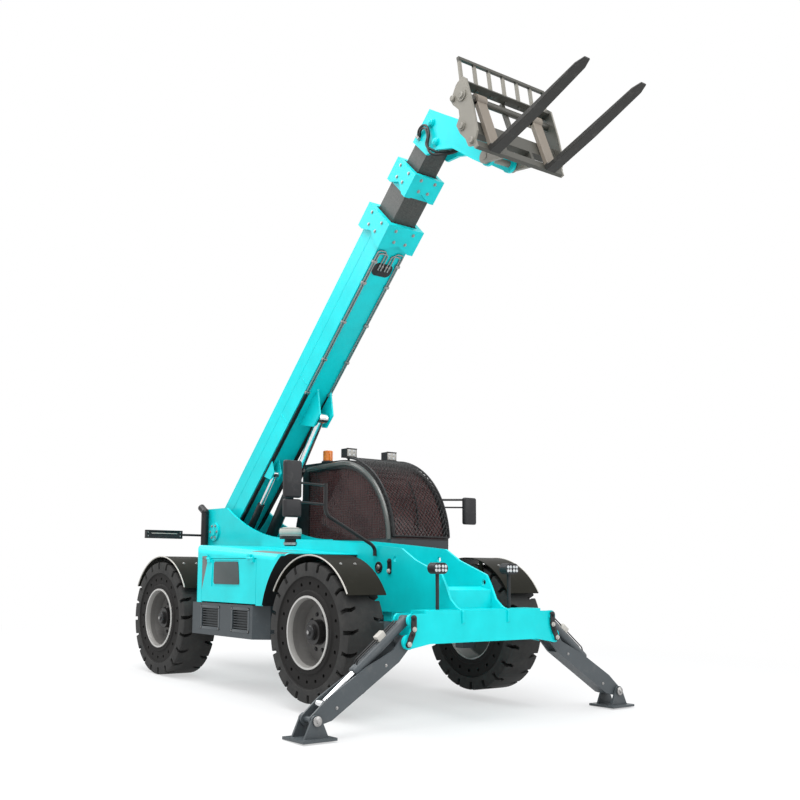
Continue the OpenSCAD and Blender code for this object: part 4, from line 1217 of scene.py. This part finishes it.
class DRESS_OT_lamps(bpy.types.Operator):
    """Lamps' lights, lenses and the beacon's rings"""

    bl_idname = "dress.lamps"
    bl_label = "Lamps"

    def execute(self, context):
        places = []
        for y in FRONT_LAMPS_Y:
            for cluster in (-0.038, 0.038):
                for dy in (-0.017, 0.017):
                    for dz in (-0.017, 0.017):
                        places.append(facing(STAND, (2.490, y + cluster + dy, 1.215 + dz), (1, 0, 0)))
        for y in ROOF_LAMPS_Y:
            for dy in (-0.030, 0.030):
                for dz in (-0.024, 0.024):
                    places.append(facing(STAND, (0.0, y + dy, 2.510 + dz), (1, 0, 0)))
        bezel = [(0.014, -0.002), (0.014, 0.004), (0.011, 0.006)]
        bulb = [(0.009, 0.003), (0.006, 0.006), (0.003, 0.008)]
        done(copies(turned(bezel + bulb, 14), places), "lamp_lights", "lamp_glass", "chassis")
        frames = []
        for low, high in ((2.456, 2.466), (2.554, 2.564)):
            frames += [slab((-0.004, y - 0.074, low), (0.006, y + 0.074, high), 0.003) for y in ROOF_LAMPS_Y]
        fixed(frames, "lamp_frames", "black_steel")
        panes = [slab((-0.003, y - 0.062, 2.470), (0.002, y + 0.062, 2.550), 0.0012) for y in ROOF_LAMPS_Y]
        fixed(panes, "lamp_panes", "trim_silver")
        self.boards()
        rear_lights = (
            ("tail_lights", "red_lens", 0.10),
            ("turn_lights", "amber_lens", -0.02),
            ("back_lights", "lamp_glass", -0.13),
        )
        for name, finish, shift in rear_lights:
            made = []
            for side in (-1, 1):
                y = side * (BOARD_Y + shift)
                made.append(slab((-2.156, y - 0.048, 1.560), (-2.146, y + 0.048, 1.640), 0.004))
            fixed(made, name, finish)
        at = Matrix.Translation((-0.43, CAB_Y[0] + 0.08, 2.425))
        base = turned([(0.074, 0.0), (0.074, 0.016), (0.066, 0.024), (0.060, 0.026)], 32)
        done(placed(base, STAND @ at), "beacon_base", "dark_plastic", "chassis")
        top = turned([(0.0585, 0.128), (0.059, 0.132), (0.054, 0.142), (0.030, 0.147)], 32)
        done(placed(top, STAND @ at), "beacon_top", "amber_lens", "chassis")
        return {"FINISHED"}

    def boards(self):
        """Frames, bolts and a pale strip on the front of the rear lamp boards"""
        frames = []
        strips = []
        places = []
        front = -2.108
        for middle in (-BOARD_Y, BOARD_Y):
            for low, high in ((1.550, 1.566), (1.634, 1.650)):
                corner = (front - 0.004, middle - 0.240, low)
                frames.append(slab(corner, (front + 0.012, middle + 0.240, high), 0.003))
            for y in (middle - 0.232, middle + 0.232):
                corner = (front - 0.004, y - 0.008, 1.550)
                frames.append(slab(corner, (front + 0.012, y + 0.008, 1.650), 0.003))
            corner = (front - 0.002, middle - 0.17, 1.606)
            strips.append(slab(corner, (front + 0.005, middle + 0.17, 1.616), 0.002))
            for y in (middle - 0.215, middle + 0.215):
                for z in (1.578, 1.622):
                    places.append(facing(STAND, (front, y, z), (1, 0, 0)))
        fixed(frames, "board_frames", "black_steel")
        fixed(strips, "board_strips", "trim_silver")
        bolts(places, "board_bolts", "chassis", "zinc", 0.006)


class DRESS_OT_body_fittings(bpy.types.Operator):
    """Keeper plates, pins, vent frames, the intake's cap and the grille's sheet"""

    bl_idname = "dress.body_fittings"
    bl_label = "Body fittings"

    def execute(self, context):
        self.keepers()
        self.plate_holes()
        self.vents()
        self.intake()
        self.grille()
        return {"FINISHED"}

    def keeper(self, home):
        """A keeper plate with round ends, 150 mm long along X"""
        return placed(plate((-0.075, -0.027, -0.002), (0.075, 0.027, 0.012), 0.026, 0.003), home)

    def keepers(self):
        homes = []
        for side in (-1, 1):
            for y, z, lean in ((0.845, 0.748, 90), (0.880, 0.622, 64)):
                home = facing(STAND, (2.602, side * y, z), (1, 0, 0))
                homes.append(home @ turned_about("Z", math.radians(lean if side < 0 else 180 - lean)))
        for side in (-1, 1):
            home = facing(STAND, (1.58, side * PLATE_Y, 1.23), (0, side, 0))
            homes.append(home @ turned_about("Z", math.radians(90)))
        done(joined([self.keeper(home) for home in homes]), "keeper_plates", "black_steel", "chassis")
        places = [home @ Matrix.Translation((-0.044, 0, 0.012)) for home in homes]
        bolts(places, "keeper_bolts", "chassis", "trim_silver", 0.015)
        places = [home @ Matrix.Translation((0.044, 0, 0.012)) for home in homes]
        bolts(places, "keeper_nuts", "chassis", "black_steel", 0.014)

    def plate_holes(self):
        """The dark bush of a cross pin in each chassis plate"""
        homes = [facing(STAND, (1.41, side * PLATE_Y, 1.22), (0, side, 0)) for side in (-1, 1)]
        bush = turned([(0.056, -0.001), (0.056, 0.006), (0.048, 0.008), (0.042, 0.003), (0.030, 0.003)], 32)
        done(copies(bush, homes), "plate_bushes", "black_steel", "chassis")
        pin = turned([(0.026, 0.002), (0.026, 0.012), (0.020, 0.016)], 24)
        done(copies(pin, homes), "plate_pins", "zinc", "chassis")

    def vents(self):
        """Frames round the vents of the side cover, with their bolts"""
        places = []
        frames = []
        for start, end in SKIRT_VENTS:
            for x in (start - 0.016, end + 0.016):
                for z in (0.574, 0.796):
                    places.append(facing(STAND, (x, SKIRT_Y, z), (0, -1, 0)))
            for low, high in ((0.560, 0.588), (0.782, 0.810)):
                frames.append(slab((start - 0.03, -1.1535, low), (end + 0.03, -1.149, high), 0.0015))
            for x in (start - 0.03, end + 0.002):
                frames.append(slab((x, -1.1535, 0.560), (x + 0.028, -1.149, 0.810), 0.0015))
        bolts(places, "vent_bolts", "chassis", "zinc", 0.007)
        fixed(frames, "vent_frames", "slate_paint")

    def intake(self):
        at = STAND @ Matrix.Translation((0.46, -0.70, 1.50))
        wall = [(0.112, 0.050), (0.116, 0.056), (0.116, 0.088)]
        dome = [(0.108, 0.108), (0.070, 0.120), (0.020, 0.123)]
        done(placed(turned(wall + dome, 40), at), "intake_cap", "trim_silver", "chassis")
        ring = turned([(0.066, -0.062), (0.070, -0.058), (0.070, -0.036), (0.066, -0.032)], 32)
        done(placed(ring, at), "intake_clamp", "zinc", "chassis")

    def grille(self):
        """The sheet before the grille's louvres, whose front edge slopes"""
        sheet = plate((-0.270, -0.115, -0.0015), (0.270, 0.115, 0.0010), 0.030, 0.0004)
        for point in sheet.data.vertices:
            if point.co.x > 0.0:
                point.co.x -= 0.16 * (point.co.y + 0.115)
        home = facing(STAND, (-0.035, -1.158, 1.151), (0, -1, 0))
        done(placed(sheet, home), "grille_sheet", "grille_grey", "hood_cover")


class DRESS_OT_leg_fittings(bpy.types.Operator):
    """Valve blocks, pipes, pins and bolts of the stabilizers"""

    bl_idname = "dress.leg_fittings"
    bl_label = "Leg fittings"

    def execute(self, context):
        for name, side in (("right", -1), ("left", 1)):
            self.cylinder(name, side)
            self.pins(name, side)
        return {"FINISHED"}

    def cylinder(self, name, side):
        home = leg_frame(LEG_CYLINDER_PIN, side, LEG_CYLINDER_DROP)
        body = "leg_cylinder_" + name + "_barrel"
        valve = slab((0.250, -0.028, 0.038), (0.340, 0.028, 0.092), 0.006)
        done(placed(valve, home), "valve_block_" + name, "trim_silver", body)
        pipes = []
        for y in (-0.016, 0.016):
            long_pipe = [(0.340, y, 0.062), (0.600, y, 0.062), (0.632, y, 0.038)]
            pipes.append(tube(set_in(home, long_pipe), 0.006, 0.02))
            short_pipe = [(0.240, y, 0.062), (0.090, y, 0.062)]
            pipes.append(tube(set_in(home, short_pipe), 0.006))
        done(joined(pipes), "leg_pipes_" + name, "black_steel", body)
        gland = turned([(0.0452, 0.628), (0.049, 0.632), (0.049, 0.676), (0.045, 0.684), (0.034, 0.686)], 32)
        turn = home @ turned_about("Y", math.pi / 2)
        done(placed(gland, turn), "leg_gland_" + name, "slate_paint", body)

    def pins(self, name, side):
        home = leg_frame(LEG_PIN, side, LEG_DROP)
        foot = "foot_pad_" + name
        places = [facing(home, (1.081, out * 0.102, 0.0), (0, out, 0)) for out in (-1, 1)]
        collar = [(0.040, -0.002), (0.040, 0.008), (0.030, 0.014)]
        tip = [(0.018, 0.016), (0.016, 0.024), (0.010, 0.026)]
        done(copies(turned(collar + tip, 20), places), "foot_pins_" + name, "zinc", foot)
        places = [facing(home, (s, out * 0.069, -0.04), (0, out, 0)) for s in (0.28, 0.86) for out in (-1, 1)]
        bolts(places, "leg_bolts_" + name, "stabilizer_" + name, "zinc", 0.009)


class DRESS_OT_seat(bpy.types.Operator):
    """The driver's seat: crowned cushions on a moulded base"""

    bl_idname = "dress.seat"
    bl_label = "Seat"

    def execute(self, context):
        base = slab((-0.41, 0.50, 0.766), (0.03, 0.89, 1.165), 0.02)
        base = done(placed(base, STAND), "seat_base", "dark_plastic", "chassis")
        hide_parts("seat")
        cushion = self.pad((-0.43, 0.465, 1.170), (0.08, 0.925, 1.300), 0.028)
        self.finish_pad(placed(cushion, STAND), "seat_cushion")
        lean = STAND @ Matrix.Translation((-0.385, 0, 1.300)) @ turned_about("Y", -0.222)
        back = self.pad((-0.055, 0.475, 0.0), (0.055, 0.915, 0.62), 0.022)
        self.finish_pad(placed(back, lean), "seat_back")
        return {"FINISHED"}

    def pad(self, low, high, crown):
        """A crowned cushion between two corners, whose sides pull in between its corners"""
        low = Vector(low)
        high = Vector(high)
        bpy.ops.object.select_all(action="DESELECT")
        bpy.ops.mesh.primitive_cube_add(size=2.0)
        piece = bpy.context.object
        edit_all(piece)
        bpy.ops.mesh.subdivide(number_cuts=6)
        leave()
        middle = (low + high) / 2
        half = (high - low) / 2
        for point in piece.data.vertices:
            u, v, w = point.co
            pull = 1.0 - 0.05 * (1 - w * w)
            swell = (1 - u * u) * (1 - v * v) * w
            pinch = 1 - 0.04 * (1 - v * v)
            point.co = Vector((u * half.x * pinch, v * half.y * pull, w * half.z * 0.86 + swell * crown))
            point.co += middle
        apply_modifier(piece, "SUBSURF", levels=2, render_levels=2)
        return piece

    def finish_pad(self, piece, name):
        done(piece, name, "seat_fabric", "chassis", 60.0)
        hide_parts("seat")


CAMERA_AT = Vector((8.4351, -6.3996, 1.5560))
CAMERA_YAW = math.radians(143.392)
CAMERA_PITCH = math.radians(5.663)
CAMERA_ROLL = math.radians(1.563)
IMAGE_MIDDLE = (358.64, 440.83)


class DRESS_OT_stage(bpy.types.Operator):
    """Makes the floor, the soft light and the camera"""

    bl_idname = "dress.stage"
    bl_label = "Stage"

    def execute(self, context):
        self.add_floor(context)
        self.add_world(context)
        self.add_lights()
        self.add_camera(context)
        context.scene.view_settings.view_transform = "Standard"
        return {"FINISHED"}

    def add_floor(self, context):
        bpy.ops.object.select_all(action="DESELECT")
        bpy.ops.mesh.primitive_plane_add(size=120.0, location=(0.0, 0.0, -0.004))
        floor = context.object
        floor.name = "floor"
        floor.data.materials.append(self.floor_material(tuple(context.scene.dress.floor)))

    def floor_material(self, colour):
        """A pale floor that keeps the shadow near the object and fades into the white behind it"""
        shader = Shader("floor")
        tone = shader.noise(0.8, 3.0, 0.5)
        darker = tuple(c * 0.97 for c in colour)
        shader.set(Base_Color=shader.ramp(tone, [(0.3, darker), (0.7, colour)]), Roughness=tone * 0.1 + 0.8)
        across = shader.along(Matrix.Identity(4), 0)
        ahead = shader.along(Matrix.Identity(4), 1)
        away = (across * across + ahead * ahead).root()
        limits = {"Value": away, "From Min": 3.0, "From Max": 8.5, "To Min": 0.55, "To Max": 1.0}
        fade = shader.node("ShaderNodeMapRange", {"interpolation_type": "SMOOTHSTEP"}, limits)
        seen = shader.node("ShaderNodeLightPath", {}, {}, "Is Camera Ray")
        for kind in ("Is Glossy Ray", "Is Transmission Ray"):
            seen = either(seen, shader.node("ShaderNodeLightPath", {}, {}, kind))
        white = shader.node("ShaderNodeEmission", {}, {"Color": (1.0, 1.0, 1.0, 1.0), "Strength": 1.0})
        lit = Socket(shader, shader.surface.outputs[0])
        mixed = shader.node("ShaderNodeMixShader", {}, {0: fade * seen, 1: lit, 2: white})
        shader.feed(shader.tree.nodes["Material Output"].inputs["Surface"], mixed)
        return shader.material

    def add_world(self, context):
        world = bpy.data.worlds.new("studio")
        context.scene.world = world
        world.use_nodes = True
        tree = world.node_tree
        tree.nodes.clear()
        rays = tree.nodes.new("ShaderNodeLightPath")
        seen = rays.outputs["Is Camera Ray"]
        for kind in ("Is Transmission Ray", "Is Glossy Ray"):
            larger = tree.nodes.new("ShaderNodeMath")
            larger.operation = "MAXIMUM"
            tree.links.new(seen, larger.inputs[0])
            tree.links.new(rays.outputs[kind], larger.inputs[1])
            seen = larger.outputs[0]
        mix = tree.nodes.new("ShaderNodeMixShader")
        tree.links.new(seen, mix.inputs[0])
        # the light on the object, then the white that is seen
        for i, (colour, strength) in enumerate((((0.93, 0.96, 1.0, 1.0), 0.70), ((1.0, 1.0, 1.0, 1.0), 1.0))):
            light = tree.nodes.new("ShaderNodeBackground")
            light.inputs["Color"].default_value = colour
            light.inputs["Strength"].default_value = strength
            tree.links.new(light.outputs[0], mix.inputs[i + 1])
        out = tree.nodes.new("ShaderNodeOutputWorld")
        tree.links.new(mix.outputs[0], out.inputs[0])

    def add_lights(self):
        self.add_lamp("key", (5.5, -7.5, 12.5), 9.0, 1200.0)
        self.add_lamp("top", (0.0, -1.5, 14.0), 9.0, 1100.0)
        self.add_lamp("fill", (10.0, 5.0, 7.0), 8.0, 450.0)
        self.add_lamp("rim", (-8.0, -4.0, 10.0), 7.0, 500.0)

    def add_lamp(self, name, place, size, power):
        bpy.ops.object.select_all(action="DESELECT")
        bpy.ops.object.light_add(type="AREA", location=place)
        lamp = bpy.context.object
        lamp.name = name
        lamp.data.shape = "SQUARE"
        lamp.data.size = size
        lamp.data.energy = power
        aim = Vector((0.0, 0.0, 2.0)) - Vector(place)
        lamp.rotation_euler = aim.to_track_quat("-Z", "Y").to_euler()

    def add_camera(self, context):
        bpy.ops.object.select_all(action="DESELECT")
        bpy.ops.object.camera_add()
        camera = context.object
        forward = Vector(
            (
                math.cos(CAMERA_YAW) * math.cos(CAMERA_PITCH),
                math.sin(CAMERA_YAW) * math.cos(CAMERA_PITCH),
                math.sin(CAMERA_PITCH),
            )
        )
        turn = forward.to_track_quat("-Z", "Y").to_matrix() @ Matrix.Rotation(CAMERA_ROLL, 3, "Z")
        camera.location = CAMERA_AT
        camera.rotation_euler = turn.to_euler()
        camera.data.sensor_width = 36.0
        camera.data.lens = context.scene.dress.lens
        camera.data.shift_x = (IMAGE_SIZE / 2 - IMAGE_MIDDLE[0]) / IMAGE_SIZE
        camera.data.shift_y = (IMAGE_MIDDLE[1] - IMAGE_SIZE / 2) / IMAGE_SIZE
        context.scene.camera = camera


class DRESS_PT_panel(bpy.types.Panel):
    """Lists the steps that dress the telehandler"""

    bl_label = "Telehandler"
    bl_idname = "DRESS_PT_panel"
    bl_space_type = "VIEW_3D"
    bl_region_type = "UI"
    bl_category = "Telehandler"

    def draw(self, context):
        for step in STEPS:
            self.layout.operator(step.bl_idname)


STEPS = (
    DRESS_OT_stage,
    DRESS_OT_finishes,
    DRESS_OT_tyres,
    DRESS_OT_wheel_fittings,
    DRESS_OT_boom_fittings,
    DRESS_OT_head_fittings,
    DRESS_OT_forks,
    DRESS_OT_cab_fittings,
    DRESS_OT_mirrors,
    DRESS_OT_lamps,
    DRESS_OT_body_fittings,
    DRESS_OT_leg_fittings,
    DRESS_OT_seat,
)
CLASSES = (Settings, *STEPS, DRESS_PT_panel)


def register():
    for made in CLASSES:
        bpy.utils.register_class(made)
    bpy.types.Scene.dress = bpy.props.PointerProperty(type=Settings)


def unregister():
    del bpy.types.Scene.dress
    for made in reversed(CLASSES):
        bpy.utils.unregister_class(made)


def main():
    register()
    for step in STEPS:
        group, name = step.bl_idname.split(".")
        getattr(getattr(bpy.ops, group), name)()


if __name__ == "__main__":
    main()
